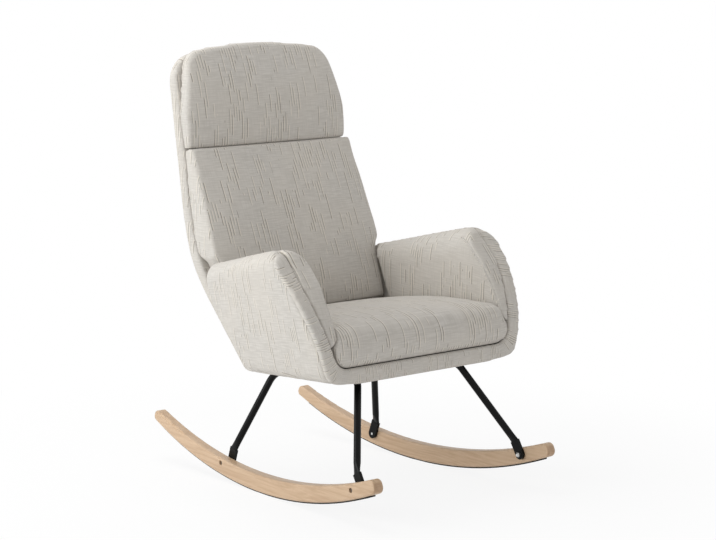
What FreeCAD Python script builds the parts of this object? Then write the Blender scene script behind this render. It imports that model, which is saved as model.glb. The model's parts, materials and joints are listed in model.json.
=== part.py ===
import FreeCAD, Part
import math
import os

# Upholstered rocking chair. Millimetres, +Z up, the sitter faces -Y, +X is the sitter's left.
# The origin is on the floor, midway along and between the rockers.

V = FreeCAD.Vector

# Rockers and the rubber strip on their running edge
rocker_radius = 1102.0            # running edge, rubber included
rocker_front_reach = 424.0        # floor contact to the front tip
rocker_rear_reach = 442.0         # floor contact to the rear tip
rocker_spacing = 476.5            # between rocker centres at the floor contact
rocker_splay = 2.4                # degrees, each rocker opens towards the front
rocker_width = 27.5
rocker_depth_middle = 40.0
rocker_depth_front = 32.0
rocker_depth_rear = 25.0
rocker_front_round = 14.0
rocker_rear_round = 11.0
rocker_edge_round = 5.0
strip_thickness = 3.0
strip_width = 16.0
strip_front_inset = 26.0          # rocker tip to the strip's end
strip_rear_inset = 40.0
rest_flat = 56.0                  # length of the strip pressed flat on the floor

# Where the feet are bolted to the rockers, from the floor contact
front_bolt_forward = 339.0
front_bolt_rise = 21.8            # above the wood's running edge
rear_bolt_back = 154.0
rear_bolt_rise = 27.5

# Leg frames, bent steel tube with flattened feet
tube_diameter = 16.0
tube_wall = 1.5
tube_front_bend = 24.0            # radius of the bend above the front foot
tube_rear_bend = 45.0
foot_thickness = 7.0
foot_width = 23.0
foot_length = 34.0                # bolt to the end of the flat
foot_taper = 24.0                 # flat to full round tube
leg_run_offset = 148.0            # tube run under the seat, from the middle
leg_front_bend = 59.7             # bend corners, from the seat front
leg_rear_bend = 355.0

# Fasteners
bolt_diameter = 6.0
bolt_head_diameter = 10.0
bolt_head_height = 5.0
hole_clearance = 0.3              # radial
thread_clearance = 0.1            # radial, bolt to nut
socket_across_flats = 5.0
socket_depth = 3.0
rocker_counterbore = 11.4
rocker_counterbore_depth = 9.0
nut_across_flats = 10.0
nut_height = 5.0
nut_dome_radius = 4.6
nut_engagement = 4.5              # bolt end inside the dome nut
t_nut_barrel = 8.0
t_nut_flange = 18.0
t_nut_flange_thickness = 1.5
t_nut_length = 11.0

# Where the seat unit sits: its front lower edge, and how far it leans back
seat_front_y = -289.8
seat_front_height = 291.6
seat_tilt = 4.93                  # degrees

# Padded shell
border_height = 34.0              # front border under the cushion
border_depth = 14.0
soft_gap = 0.4                    # between soft pieces
arm_thickness = 32.0
arm_lean = 0.23                   # sideways per unit of height, at the reference depth
arm_lean_ease = 0.00022           # loss of that lean per unit of depth
arm_toe_in = 0.088                # sideways per unit of depth
arm_crest_fall = 0.121            # drop per unit of depth
arm_reference = 100.0             # depth where the next three sizes hold
arm_foot_offset = 264.0           # outer face at the underside
arm_crest_height = 291.0
arm_roll_radius = 35.0
arm_knee_share = 0.8              # height of the inner face's knee, as a share of the roll's centre
arm_foot_round = 36.0
arm_foot_height = 5.0             # arm underside above the seat front's lower edge
opening_round = 40.0              # inner lower corners of the front opening
seam_inset = 42.0                 # from the arm's inner face to the seam in the front border
arm_front_straight = 45.0         # height up to which the arm front is upright
arm_front_curve = [(8.0, 108.0), (29.0, 160.0), (58.0, 212.0), (95.0, 258.0)]
arm_front_top = (150.0, 287.0)
arm_rear_top = 434.0              # depth of the arm's upright rear edge
back_foot = 368.0                 # rear lower edge of the back
back_low_lean = 33.8              # degrees from upright, behind the seat
back_high_lean = 8.0              # degrees from upright, behind the head
back_bend_height = 256.0
back_bend_radius = 520.0
back_thickness = 38.0
back_underside = 6.0
back_top = 738.0
back_foot_half_width = 228.0
back_waist_half_width = 250.0
back_waist_height = 250.0
back_waist_round = 400.0
back_top_half_width = 228.0
back_corner_radius = 68.0
back_edge_round = 20.0
back_crown = 14.0

# Cushions
cover_thickness = 1.6
fill_bag_wall = 5.0               # inner bag of the fibre-filled cushions
seat_cushion_front = -4.0
seat_cushion_rear_gap = 5.0       # to the back cushion
seat_cushion_undercut = 32.0      # slant of the rear face
seat_cushion_edge = 128.0         # height of the top at its edges
seat_cushion_crown = 139.0
seat_cushion_nose = 40.0          # radius of the front top roll
seat_cushion_toe = 16.0           # radius of the front lower roll
seat_cushion_side_round = 18.0
seat_cushion_side_gap = 3.0       # to the arm pads and the border
pad_roll = 51.0                   # inner face of the arm pad to the arm's top, at the reference depth
pad_underside = 95.0              # lower edge of the inner face
pad_tip = 83.0                    # lower edge against the arm
pad_front_setback = 1.0
pad_seam_share = 1.5              # how far the foam stops short of the top seam, per unit of cover
back_cushion_foot = 127.0
back_cushion_top = 505.0
back_cushion_thickness = 35.0     # at the foot
back_cushion_face_lean = 0.325
back_cushion_bulge = 6.0
back_cushion_side_gap = 2.0       # to the arms, below their top
back_cushion_ear_half_width = 247.0
back_cushion_ear_gap = 12.0       # above the arm's top at its rear edge
back_cushion_ear_step = 8.0       # height over which the ear widens
back_cushion_ear_height = 44.0
back_cushion_top_half_width = 237.0
back_cushion_round = 12.0
head_gap = 1.5                    # to the back cushion's top
head_height = 245.5
head_foot_thickness = 26.0
head_top_thickness = 22.0
head_bulge = 18.0
head_half_width = 236.0
head_foot_half_width = 235.0
head_corner_radius = 60.0
head_top_half_width = 205.0
head_straight = 83.5              # height below the taper
head_crown = 18.0
head_round = 15.0

# Wood frame inside
rail_thickness = 22.0
rail_bottom = 7.5
rail_top_drop = 4.0               # below the front border's top, room for webbing and deck
rail_gap = 0.3
cross_rail_thickness = 18.0
cross_rail_depth = 60.0
front_cross_rail_middle = 103.0
rear_cross_rail_middle = 245.0
corner_block_leg = 34.0
corner_block_inset = 2.0          # below the rails' top and above their foot
arm_board_thickness = 12.0
arm_board_inset = 11.0            # from the arm's inner face
arm_board_margin = 26.0           # inside the arm's outline
post_thickness = 18.0
post_width = 40.0
post_margin = 18.0                # from the back's edge at the foot
post_setback = 9.0               # from the outer back
post_foot = 10.0
post_top_margin = 48.0            # below the back's top
top_rail_height = 50.0
middle_rail_low = 270.0
middle_rail_height = 60.0

# Webbing, deck and dust cover
webbing_thickness = 1.2
webbing_width = 50.0
webbing_gap = 0.2
seat_strap_offsets = [-135.0, -45.0, 45.0, 135.0]
seat_strap_depths = [75.0, 140.0, 205.0, 270.0]
back_strap_low = 362.0
back_strap_pitch = 70.0
back_strap_count = 4
deck_thickness = 1.4
dust_cover_thickness = 0.8

# Leg plates and where bolts go
plate_length = 72.0
plate_depth = 40.0
plate_thickness = 3.0
plate_bolt_offset = 26.0
arm_bolt_first = 140.0
arm_bolt_pitch = 19.0
arm_bolt_count = 3
rail_bolt_height = 16.0
back_bolt_inset = 10.0            # from a post's inner edge
back_bolt_heights = [13.5, 24.5]

# Values worked out from the sizes above
contact_y = (rocker_front_reach - rocker_rear_reach) / 2
flat_sagitta = rocker_radius - math.sqrt(rocker_radius ** 2 - (rest_flat / 2) ** 2)
rocker_centre_height = rocker_radius - flat_sagitta
wood_radius = rocker_radius - strip_thickness
tube_radius = tube_diameter / 2
bolt_radius = bolt_diameter / 2
low_lean = math.radians(back_low_lean)
high_lean = math.radians(back_high_lean)
arm_inner_offset = arm_foot_offset - arm_thickness
post_deep = post_setback + post_thickness
post_outer = back_foot_half_width - post_margin
post_inner = post_outer - post_width
post_top = back_top - post_top_margin
rail_top = border_height - rail_top_drop
leg_run_drop = tube_radius + plate_thickness - rail_bottom
seam_offset = arm_inner_offset - seam_inset
head_foot = back_cushion_top + head_gap
head_top = head_foot + head_height
head_taper_start = head_foot + head_straight
deck_low = rail_top + 2 * (webbing_thickness + webbing_gap) + webbing_gap
cushion_low = border_height + 2 * soft_gap
reach = 700.0                     # longer than anything that is trimmed
seat_lean = FreeCAD.Rotation(V(1, 0, 0), -seat_tilt)
seat_frame = FreeCAD.Placement(V(0, seat_front_y, seat_front_height), seat_lean)


# Building blocks

def face_yz(edges, x=0.0):
    """A flat face from edges drawn in the YZ plane."""
    face = Part.Face(Part.Wire(Part.__sortEdges__(edges)))
    face.translate(V(x, 0, 0))
    return face


def polygon(points):
    """A flat face through corner points."""
    return Part.Face(Part.makePolygon(points + [points[0]]))


def prism_x(face, low, high):
    """A face in the YZ plane, drawn out between two X positions."""
    start = face.copy()
    start.translate(V(low, 0, 0))
    return start.extrude(V(high - low, 0, 0))


def cylinder(radius, length, base, direction):
    return Part.makeCylinder(radius, length, base, direction)


def mirrored(shape):
    return shape.mirror(V(0, 0, 0), V(1, 0, 0))


def save(name, shape):
    shape.exportStep("parts/" + name + ".step")


def save_pair(name, shape):
    save(name + "_left", shape)
    save(name + "_right", mirrored(shape))


def in_seat(shape):
    """From the seat unit's own level frame into the chair's frame."""
    placed = shape.copy()
    placed.Placement = seat_frame.multiply(placed.Placement)
    return placed


def save_seat(name, shape):
    save(name, in_seat(shape))


def save_seat_pair(name, shape):
    save_pair(name, in_seat(shape))


def round_edges(solid, radius, chosen):
    """Round the edges for which chosen(edge) is true."""
    edges = [edge for edge in solid.Edges if chosen(edge)]
    return solid.makeFillet(radius, edges)


def with_mirror(shape):
    return Part.makeCompound([shape, mirrored(shape)])


# Rockers: built about the floor contact, then set to their spacing and splay

def on_rocker(shape):
    placed = shape.copy()
    turn = FreeCAD.Rotation(V(0, 0, 1), rocker_splay)
    placed.Placement = FreeCAD.Placement(V(rocker_spacing / 2, contact_y, 0), turn).multiply(placed.Placement)
    return placed


def arc_point(radius, along):
    """A point of a circle about the rocker's centre, by its Y."""
    return V(0, along, rocker_centre_height - math.sqrt(radius ** 2 - along ** 2))


def rocker_end(along, depth):
    """Lower and upper corner of the square-cut end, before rounding."""
    lower = arc_point(wood_radius, along)
    inwards = (V(0, 0, rocker_centre_height) - lower).normalize()
    return lower, lower + inwards * depth


def rocker_shape():
    front_low, front_high = rocker_end(-rocker_front_reach, rocker_depth_front)
    rear_low, rear_high = rocker_end(rocker_rear_reach, rocker_depth_rear)
    middle_low = arc_point(wood_radius, 0)
    middle_high = middle_low + V(0, 0, rocker_depth_middle)
    edges = [Part.Arc(front_low, middle_low, rear_low).toShape(),
             Part.LineSegment(rear_low, rear_high).toShape(),
             Part.Arc(rear_high, middle_high, front_high).toShape(),
             Part.LineSegment(front_high, front_low).toShape()]
    solid = prism_x(face_yz(edges), -rocker_width / 2, rocker_width / 2)

    def at(*corners):
        return lambda e: min((e.CenterOfMass - corner).Length for corner in corners) < 1e-3

    solid = round_edges(solid, rocker_front_round, at(front_low, front_high))
    solid = round_edges(solid, rocker_rear_round, at(rear_low, rear_high))
    solid = round_edges(solid, rocker_edge_round, lambda e: e.BoundBox.XLength < 1e-3)
    for place in bolt_places():
        start = place - V(reach / 2, 0, 0)
        solid = solid.cut(cylinder(bolt_radius + hole_clearance, reach, start, V(1, 0, 0)))
        mouth = place + V(rocker_width / 2 - rocker_counterbore_depth, 0, 0)
        solid = solid.cut(cylinder(rocker_counterbore / 2, reach, mouth, V(1, 0, 0)))
    return solid


def strip_shape():
    front = -(rocker_front_reach - strip_front_inset)
    rear = rocker_rear_reach - strip_rear_inset
    outer = [arc_point(rocker_radius, along) for along in (front, 0, rear)]
    inner = [arc_point(wood_radius, along) for along in (front, 0, rear)]
    edges = [Part.Arc(*outer).toShape(), Part.LineSegment(outer[2], inner[2]).toShape(),
             Part.Arc(*inner).toShape(), Part.LineSegment(inner[0], outer[0]).toShape()]
    solid = prism_x(face_yz(edges), -strip_width / 2, strip_width / 2)
    below = Part.makeBox(reach, reach, reach, V(-reach / 2, -reach / 2, -reach))
    return solid.cut(below)


def bolt_places():
    front = arc_point(wood_radius, -front_bolt_forward) + V(0, 0, front_bolt_rise)
    rear = arc_point(wood_radius, rear_bolt_back) + V(0, 0, rear_bolt_rise)
    return [front, rear]


def rocker_bolt(place, grip_end):
    """A socket bolt from the counterbore to grip_end, measured along X in the rocker's frame."""
    seat = rocker_width / 2 - rocker_counterbore_depth
    head = cylinder(bolt_head_diameter / 2, bolt_head_height, place + V(seat, 0, 0), V(1, 0, 0))
    socket_floor = seat + bolt_head_height - socket_depth
    socket = hexagon(socket_across_flats, socket_depth, place + V(socket_floor, 0, 0))
    shank = cylinder(bolt_radius, seat - grip_end, place + V(grip_end, 0, 0), V(1, 0, 0))
    return head.cut(socket).fuse(shank)


def hexagon(across_flats, length, base):
    """A hexagonal prism along X."""
    radius = across_flats / math.sqrt(3)
    points = []
    for corner in range(6):
        angle = math.radians(60 * corner)
        points.append(base + V(0, radius * math.cos(angle), radius * math.sin(angle)))
    return polygon(points).extrude(V(length, 0, 0))


def dome_nut(place):
    """A dome nut on the inside of a foot, dome towards the middle of the chair."""
    seat = -rocker_width / 2 - foot_thickness
    top = place + V(seat - nut_height, 0, 0)
    body = hexagon(nut_across_flats, nut_height, top)
    dome = Part.makeSphere(nut_dome_radius, top)
    keep = Part.makeBox(nut_height, reach, reach, top - V(nut_height, reach / 2, reach / 2))
    hole = cylinder(bolt_radius + thread_clearance, nut_height, top, V(1, 0, 0))
    return body.cut(hole).fuse(dome.common(keep))


# Leg frames

def leg_corner(depth):
    """A bend corner of the tube run under the seat, in the chair's frame."""
    return seat_frame.multVec(V(leg_run_offset, depth, -leg_run_drop))


def foot_frame(place, corner):
    """Bolt point on the foot's middle plane, then the ways up and across the foot, in the chair's frame."""
    to_chair = on_rocker(Part.Vertex(place - V(rocker_width / 2 + foot_thickness / 2, 0, 0))).Point
    turn = FreeCAD.Rotation(V(0, 0, 1), rocker_splay)
    across = turn.multVec(V(1, 0, 0))
    rise = corner - to_chair
    upward = (rise - across * rise.dot(across)).normalize()
    return to_chair, upward, across


def foot_shape(point, upward, across):
    """Flattened tube end: a plate with round ends, drilled for its bolt."""
    side = upward.cross(across)
    half = foot_width / 2
    low = point - across * (foot_thickness / 2)
    top = low + upward * foot_length
    edges = [Part.Arc(low + side * half, low - upward * half, low - side * half).toShape(),
             Part.LineSegment(low - side * half, top - side * half).toShape(),
             Part.LineSegment(top - side * half, top + side * half).toShape(),
             Part.LineSegment(top + side * half, low + side * half).toShape()]
    plate = Part.Face(Part.Wire(edges)).extrude(across * foot_thickness)
    hole = cylinder(bolt_radius + hole_clearance, reach, point - across * (reach / 2), across)
    return plate.cut(hole)


def ring(radius, centre, direction):
    return Part.Wire(Part.makeCircle(radius, centre, direction))


def flat_ring(centre, upward, across):
    """The flattened tube's oval, across the foot."""
    side = upward.cross(across)
    oval = Part.Ellipse(centre + side * (foot_width / 2), centre + across * (foot_thickness / 2), centre)
    return Part.Wire(oval.toShape())


def leg_path(start, corners, end):
    """Straight runs joined by tangent bends."""
    points = [start] + corners + [end]
    edges = []
    last = start
    for i, radius in ((1, tube_front_bend), (2, tube_rear_bend)):
        back = (points[i - 1] - points[i]).normalize()
        on = (points[i + 1] - points[i]).normalize()
        half_turn = back.getAngle(on) / 2
        trim = radius / math.tan(half_turn)
        bisector = (back + on).normalize()
        centre = points[i] + bisector * (radius / math.sin(half_turn))
        first = points[i] + back * trim
        second = points[i] + on * trim
        edges.append(Part.LineSegment(last, first).toShape())
        edges.append(Part.Arc(first, centre - bisector * radius, second).toShape())
        last = second
    edges.append(Part.LineSegment(last, end).toShape())
    return Part.Wire(edges)


def leg_frame_shape():
    front_corner = leg_corner(leg_front_bend)
    rear_corner = leg_corner(leg_rear_bend)
    feet = []
    ends = []
    for place, corner in zip(bolt_places(), (front_corner, rear_corner)):
        point, upward, across = foot_frame(place, corner)
        kink = point + upward * foot_length
        leg = (corner - kink).normalize()
        begin = kink + leg * foot_taper
        taper = Part.makeLoft([flat_ring(kink, upward, across), ring(tube_radius, begin, leg)], True)
        feet.append(foot_shape(point, upward, across).fuse(taper))
        ends.append((begin, leg))
    path = leg_path(ends[0][0], [front_corner, rear_corner], ends[1][0])
    tube = path.makePipeShell([ring(tube_radius, ends[0][0], ends[0][1])], True, True)
    bore = path.makePipeShell([ring(tube_radius - tube_wall, ends[0][0], ends[0][1])], True, True)
    return tube.cut(bore).fuse(feet[0]).fuse(feet[1])


# Outline of the back, seen from the side: a straight foot, a bend and a straight upper part

def back_line(offset, low, high):
    """Edges of the back's outline, moved forward by offset, from height low to height high."""
    low_way = V(0, math.sin(low_lean), math.cos(low_lean))
    high_way = V(0, math.sin(high_lean), math.cos(high_lean))
    low_front = V(0, -math.cos(low_lean), math.sin(low_lean))
    high_front = V(0, -math.cos(high_lean), math.sin(high_lean))
    corner = V(0, back_foot + back_bend_height * math.tan(low_lean), back_bend_height)
    corner = corner + (low_front + high_front) * (offset / (1 + low_front.dot(high_front)))
    radius = back_bend_radius - offset
    half_turn = (low_lean - high_lean) / 2
    trim = radius * math.tan(half_turn)
    bend_in = corner - low_way * trim
    bend_out = corner + high_way * trim
    inward = (high_way - low_way).normalize()
    bend_middle = corner + inward * (radius * (1 / math.cos(half_turn) - 1))
    start = bend_in + low_way * ((low - bend_in.z) / low_way.z)
    end = bend_out + high_way * ((high - bend_out.z) / high_way.z)
    arc = Part.Arc(bend_in, bend_middle, bend_out).toShape()
    if low < bend_in.z:
        edges = [Part.LineSegment(start, bend_in).toShape(), arc, Part.LineSegment(bend_out, end).toShape()]
        return edges, start, end
    if low < bend_out.z:
        start = bend_point(bend_in, bend_middle, bend_out, low)
        middle = bend_point(bend_in, bend_middle, bend_out, (low + min(high, bend_out.z)) / 2)
        if high <= bend_out.z:
            end = bend_point(bend_in, bend_middle, bend_out, high)
            return [Part.Arc(start, middle, end).toShape()], start, end
        edges = [Part.Arc(start, middle, bend_out).toShape(), Part.LineSegment(bend_out, end).toShape()]
        return edges, start, end
    start = bend_out + high_way * ((low - bend_out.z) / high_way.z)
    return [Part.LineSegment(start, end).toShape()], start, end


def bend_point(first, middle, last, height):
    """The point of a bend at a given height."""
    circle = Part.Circle(first, middle, last)
    centre = circle.Center
    rise = height - centre.z
    return V(0, centre.y + math.sqrt(circle.Radius ** 2 - rise ** 2), height)


def back_band(outer, inner, low, high):
    """Side face of a layer of the back, between two offsets from its outer face."""
    rear, rear_low, rear_high = back_line(outer, low, high)
    front, front_low, front_high = back_line(inner, low, high)
    ends = [Part.LineSegment(rear_low, front_low).toShape(),
            Part.LineSegment(rear_high, front_high).toShape()]
    return face_yz(rear + front + ends)


def outline(points):
    """A front-view outline, mirrored about the middle, drawn out along Y."""
    right = [V(-p.x, p.y, p.z) for p in reversed(points)]
    return polygon(points + right).extrude(V(0, 2 * reach, 0))


def crowned_outline(points, crown):
    """As outline, with the top edge bowed up by crown."""
    top = points[-1]
    left = [V(-p.x, p.y, p.z) for p in points]
    edges = [Part.LineSegment(a, b).toShape() for a, b in zip(points[:-1], points[1:])]
    edges += [Part.LineSegment(a, b).toShape() for a, b in zip(left[:-1], left[1:])]
    edges.append(Part.LineSegment(left[0], points[0]).toShape())
    edges.append(Part.Arc(top, V(0, top.y, top.z + crown), left[-1]).toShape())
    return Part.Face(Part.Wire(Part.__sortEdges__(edges))).extrude(V(0, 2 * reach, 0))


def upright_corner(height):
    """Picks the corner edges that run along Y at or above a height."""
    return lambda e: e.BoundBox.YLength > reach and e.BoundBox.ZMin > height and abs(e.CenterOfMass.x) > 1


def back_panel_outline():
    points = [V(back_foot_half_width, -reach / 2, back_underside),
              V(back_waist_half_width, -reach / 2, back_waist_height),
              V(back_top_half_width, -reach / 2, back_top - back_crown)]
    solid = crowned_outline(points, back_crown)
    solid = round_edges(solid, back_corner_radius, upright_corner(back_waist_height + 1))
    return round_edges(solid, back_waist_round, lambda e: e.BoundBox.YLength > reach
                       and abs(e.CenterOfMass.z - back_waist_height) < 1)


def back_panel_shape():
    band = prism_x(back_band(0, back_thickness, 0, back_top + back_crown), -reach / 2, reach / 2)
    solid = band.common(back_panel_outline())

    def rear_rim(edge):
        place = edge.CenterOfMass
        depth = back_depth(place.z)
        rises = edge.BoundBox.ZLength > 1e-3
        return rises and abs(place.y - depth) < back_edge_round / 4

    solid = round_edges(solid, back_edge_round, rear_rim)
    hollow = prism_x(back_band(post_setback - soft_gap, post_deep + 2 * webbing_thickness + 2 * soft_gap,
                               post_foot - soft_gap, post_top + soft_gap),
                     -post_outer - soft_gap, post_outer + soft_gap)
    return drilled_for_back_bolts(solid.cut(hollow))


def back_depth(height, offset=0.0):
    """Depth of the back's outline at a height."""
    edges, start, end = back_line(offset, height, height + 1.0)
    return start.y


def rear_rail_face(height):
    """Depth of the rear rail's front face at a height."""
    return back_depth(height, back_thickness) - rail_gap - rail_thickness


def back_bolts_at():
    """Under each back bolt's head, with the length of its shank."""
    places = []
    for height in back_bolt_heights:
        start = rear_rail_face(height - bolt_head_diameter / 2)
        end = back_depth(height, post_setback) - post_thickness / 2
        for side in (-1, 1):
            places.append((V(side * (post_inner + back_bolt_inset), start, height), end - start))
    return places


def back_layer(outer, inner, low, high, left, right):
    return prism_x(back_band(outer, inner, low, high), left, right)


def drilled_for_back_bolts(solid):
    for place, length in back_bolts_at():
        solid = solid.cut(cylinder(bolt_radius + hole_clearance, length + hole_clearance, place, V(0, 1, 0)))
    return solid


def back_bolt_shape():
    bolts = []
    for place, length in back_bolts_at():
        head_end = place - V(0, bolt_head_height, 0)
        head = cylinder(bolt_head_diameter / 2, bolt_head_height, head_end, V(0, 1, 0))
        bolts.append(head.fuse(cylinder(bolt_radius, length, place, V(0, 1, 0))))
    return Part.makeCompound(bolts)


# Arms: a section at the front and one behind the back, joined by straight lines

arm_near = -40.0
arm_far = 560.0


def lean_at(depth):
    """Sideways lean of the arm at a depth."""
    return arm_lean - arm_lean_ease * (depth - arm_reference)


def toe(depth):
    """Sideways shift of the arm at a depth."""
    return -arm_toe_in * (depth - arm_reference)


def crest(depth):
    """Height of the arm's top at a depth."""
    return arm_crest_height - arm_crest_fall * (depth - arm_reference)


def arm_knee(depth):
    """Height where the arm's inner face turns up to the crest."""
    return arm_knee_share * (crest(depth) - arm_roll_radius)


def arm_inside(depth, height):
    """Offset of the arm's inner face below its knee."""
    return arm_inner_offset + toe(depth) + lean_at(depth) * height


def arm_roll(depth):
    """Start, middle and top of the roll at the arm's crest."""
    lean = V(lean_at(depth), 0, 1).normalize()
    outward = V(lean.z, 0, -lean.x)
    height = crest(depth) - arm_roll_radius + outward.z * arm_roll_radius
    start = V(arm_foot_offset + toe(depth) + lean_at(depth) * height, depth, height)
    centre = start - outward * arm_roll_radius
    middle = centre + (outward + V(0, 0, 1)).normalize() * arm_roll_radius
    return start, middle, centre + V(0, 0, arm_roll_radius)


def arm_section(depth):
    """Section of the padded arm shell: rounded foot, leaning faces, rolled top."""
    x0 = toe(depth)
    slope = lean_at(depth)
    lean = V(slope, 0, 1).normalize()
    outward = V(lean.z, 0, -lean.x)
    foot = V(arm_foot_offset + x0 + slope * arm_foot_height, depth, arm_foot_height)
    foot_trim = arm_foot_round * math.tan((math.pi / 2 - math.atan(slope)) / 2)
    foot_flat = foot - V(foot_trim, 0, 0)
    foot_up = foot + lean * foot_trim
    foot_middle = foot_flat + V(0, 0, arm_foot_round) + (outward - V(0, 0, 1)).normalize() * arm_foot_round
    roll_start, roll_middle, roll_top = arm_roll(depth)
    inner_high = V(arm_inside(depth, arm_knee(depth)), depth, arm_knee(depth))
    inner_low = V(arm_inside(depth, arm_foot_height), depth, arm_foot_height)
    edges = [Part.LineSegment(inner_low, foot_flat).toShape(),
             Part.Arc(foot_flat, foot_middle, foot_up).toShape(),
             Part.LineSegment(foot_up, roll_start).toShape(),
             Part.Arc(roll_start, roll_middle, roll_top).toShape(),
             Part.LineSegment(roll_top, inner_high).toShape(),
             Part.LineSegment(inner_high, inner_low).toShape()]
    return Part.Wire(edges)


def border_section(depth):
    """Section of the border: the arm's outline with a rounded corner down to the front of the seat."""
    outer = arm_section(depth).Edges[0:5]
    slope = lean_at(depth)
    knee = outer[4].Vertexes[1].Point
    lean = V(slope, 0, 1).normalize()
    corner = V(arm_inside(depth, border_height), depth, border_height)
    half_turn = (math.pi / 2 - math.atan(slope)) / 2
    trim = opening_round * math.tan(half_turn)
    side = corner + lean * trim
    floor = corner - V(trim, 0, 0)
    bisector = (lean - V(1, 0, 0)).normalize()
    centre = corner + bisector * (opening_round / math.cos(half_turn))
    seam_top = V(seam_offset, depth, border_height)
    seam_foot = V(seam_offset, depth, 0)
    edges = [Part.LineSegment(knee, side).toShape(),
             Part.Arc(side, centre - bisector * opening_round, floor).toShape(),
             Part.LineSegment(floor, seam_top).toShape(), Part.LineSegment(seam_top, seam_foot).toShape(),
             Part.LineSegment(seam_foot, outer[0].Vertexes[1].Point).toShape()]
    return Part.Wire(outer[1:5] + edges)


def arm_profile(front_shift, rear_shift=0.0, foot=0.0):
    """Side outline that trims the arm, its front edge moved back by front_shift."""
    start = V(0, front_shift, foot)
    upright = V(0, front_shift, arm_front_straight)
    crest_point = V(0, arm_front_top[0] + front_shift, arm_front_top[1])
    curve = Part.BSplineCurve()
    points = [upright] + [V(0, d + front_shift, w) for d, w in arm_front_curve] + [crest_point]
    curve.interpolate(Points=points, InitialTangent=V(0, 0, 1), FinalTangent=V(0, 1, -arm_crest_fall / 2))
    above = crest_point + V(0, arm_roll_radius, arm_roll_radius)
    rear_low = back_depth(foot, back_thickness + soft_gap)
    waist = foot + (arm_rear_top - rear_low) / math.tan(low_lean)
    corners = [above, V(0, arm_rear_top - rear_shift, above.z), V(0, arm_rear_top - rear_shift, waist),
               V(0, rear_low - rear_shift, foot), start]
    edges = [Part.LineSegment(start, upright).toShape(), curve.toShape(),
             Part.LineSegment(crest_point, above).toShape()]
    edges += [Part.LineSegment(a, b).toShape() for a, b in zip(corners[:-1], corners[1:])]
    return prism_x(Part.Face(Part.Wire(edges)), 0, reach)


def arm_body(section):
    return Part.makeLoft([section(arm_near), section(arm_far)], True, True)


def arm_board_section(depth, extra=0.0):
    """Section of the plywood board inside the arm."""
    low = arm_inner_offset + toe(depth) + arm_board_inset - extra
    high = low + arm_board_thickness + 2 * extra
    foot = arm_board_inset - extra
    top = crest(depth) - arm_roll_radius - arm_board_inset + extra
    points = [V(low + lean_at(depth) * foot, depth, foot), V(high + lean_at(depth) * foot, depth, foot),
              V(high + lean_at(depth) * top, depth, top), V(low + lean_at(depth) * top, depth, top)]
    return Part.makePolygon(points + [points[0]])


def arm_board_shape(extra=0.0):
    body = arm_body(lambda depth: arm_board_section(depth, extra))
    return body.common(arm_profile(arm_board_margin + border_depth - extra, arm_board_margin - extra))


def arm_bolt_depths():
    return [arm_bolt_first + arm_bolt_pitch * i for i in range(arm_bolt_count)]


def rail_inner(depth):
    """Inner face of the side rail."""
    return arm_inner_offset - soft_gap + toe(depth) - rail_thickness


def arm_bolt_span(depth):
    """Ends of an arm bolt: under its head and inside the board."""
    start = rail_inner(depth)
    board = arm_inside(depth, rail_bolt_height) + arm_board_inset
    return start, board + arm_board_thickness - arm_board_inset / 2


def drilled_for_arm_bolts(solid):
    for depth in arm_bolt_depths():
        start, end = arm_bolt_span(depth)
        mouth = start - bolt_head_height
        solid = solid.cut(cylinder(bolt_radius + hole_clearance, end - mouth + hole_clearance,
                                   V(mouth, depth, rail_bolt_height), V(1, 0, 0)))
    return solid


def arm_bolts_shape():
    bolts = []
    for depth in arm_bolt_depths():
        start, end = arm_bolt_span(depth)
        seat = start - arm_toe_in * bolt_head_diameter / 2
        head = cylinder(bolt_head_diameter / 2, bolt_head_height,
                        V(seat - bolt_head_height, depth, rail_bolt_height), V(1, 0, 0))
        shank = cylinder(bolt_radius, end - seat, V(seat, depth, rail_bolt_height), V(1, 0, 0))
        bolts.append(head.fuse(shank))
    return Part.makeCompound(bolts)


def arm_panel_shape():
    solid = arm_body(arm_section).common(arm_profile(border_depth + soft_gap))
    return drilled_for_arm_bolts(solid.cut(arm_board_shape(hole_clearance)))


def arm_border_shape():
    return arm_body(border_section).common(arm_profile(0)).cut(arm_profile(border_depth))


# Inner arm pads

def pad_inside(depth):
    """Offset of the pad's upright inner face."""
    return arm_roll(arm_reference)[2].x - pad_roll + toe(depth)


def pad_section(depth, inset=0.0):
    """Section of the arm pad: against the shell outside, rolled over its top, upright inside."""
    gap = 2 * soft_gap
    inner = pad_inside(depth)
    seam_top = arm_roll(depth)[2] - V(gap, 0, soft_gap)
    roll_radius = seam_top.x - inner
    radius = roll_radius - inset
    centre = seam_top - V(0, 0, roll_radius)
    knee = arm_knee(depth)
    tip = arm_inside(depth, pad_tip) - gap
    slope = (pad_underside - pad_tip) / (tip - inner)
    lift = inset * math.sqrt(1 + slope ** 2)
    seam = pad_seam_share * inset
    outer_top = centre + V(-seam, 0, math.sqrt(radius ** 2 - seam ** 2))
    outer_knee = V(arm_inside(depth, knee) - gap - inset, depth, knee)
    outer_low = V(tip - inset, depth, pad_tip + lift + slope * inset)
    inner_low = V(inner + inset, depth, pad_underside + lift - slope * inset)
    roll_start = centre - V(radius, 0, 0)
    roll_middle = centre + V(-1, 0, 1).normalize() * radius
    edges = [Part.LineSegment(inner_low, roll_start).toShape(),
             Part.Arc(roll_start, roll_middle, outer_top).toShape(),
             Part.LineSegment(outer_top, outer_knee).toShape(),
             Part.LineSegment(outer_knee, outer_low).toShape(),
             Part.LineSegment(outer_low, inner_low).toShape()]
    return Part.Wire(edges)


def cushion_face(height):
    """Depth of the back cushion's front face at its sides."""
    foot = back_depth(back_cushion_foot, back_thickness) - back_cushion_thickness
    return foot + back_cushion_face_lean * (height - back_cushion_foot)


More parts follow.
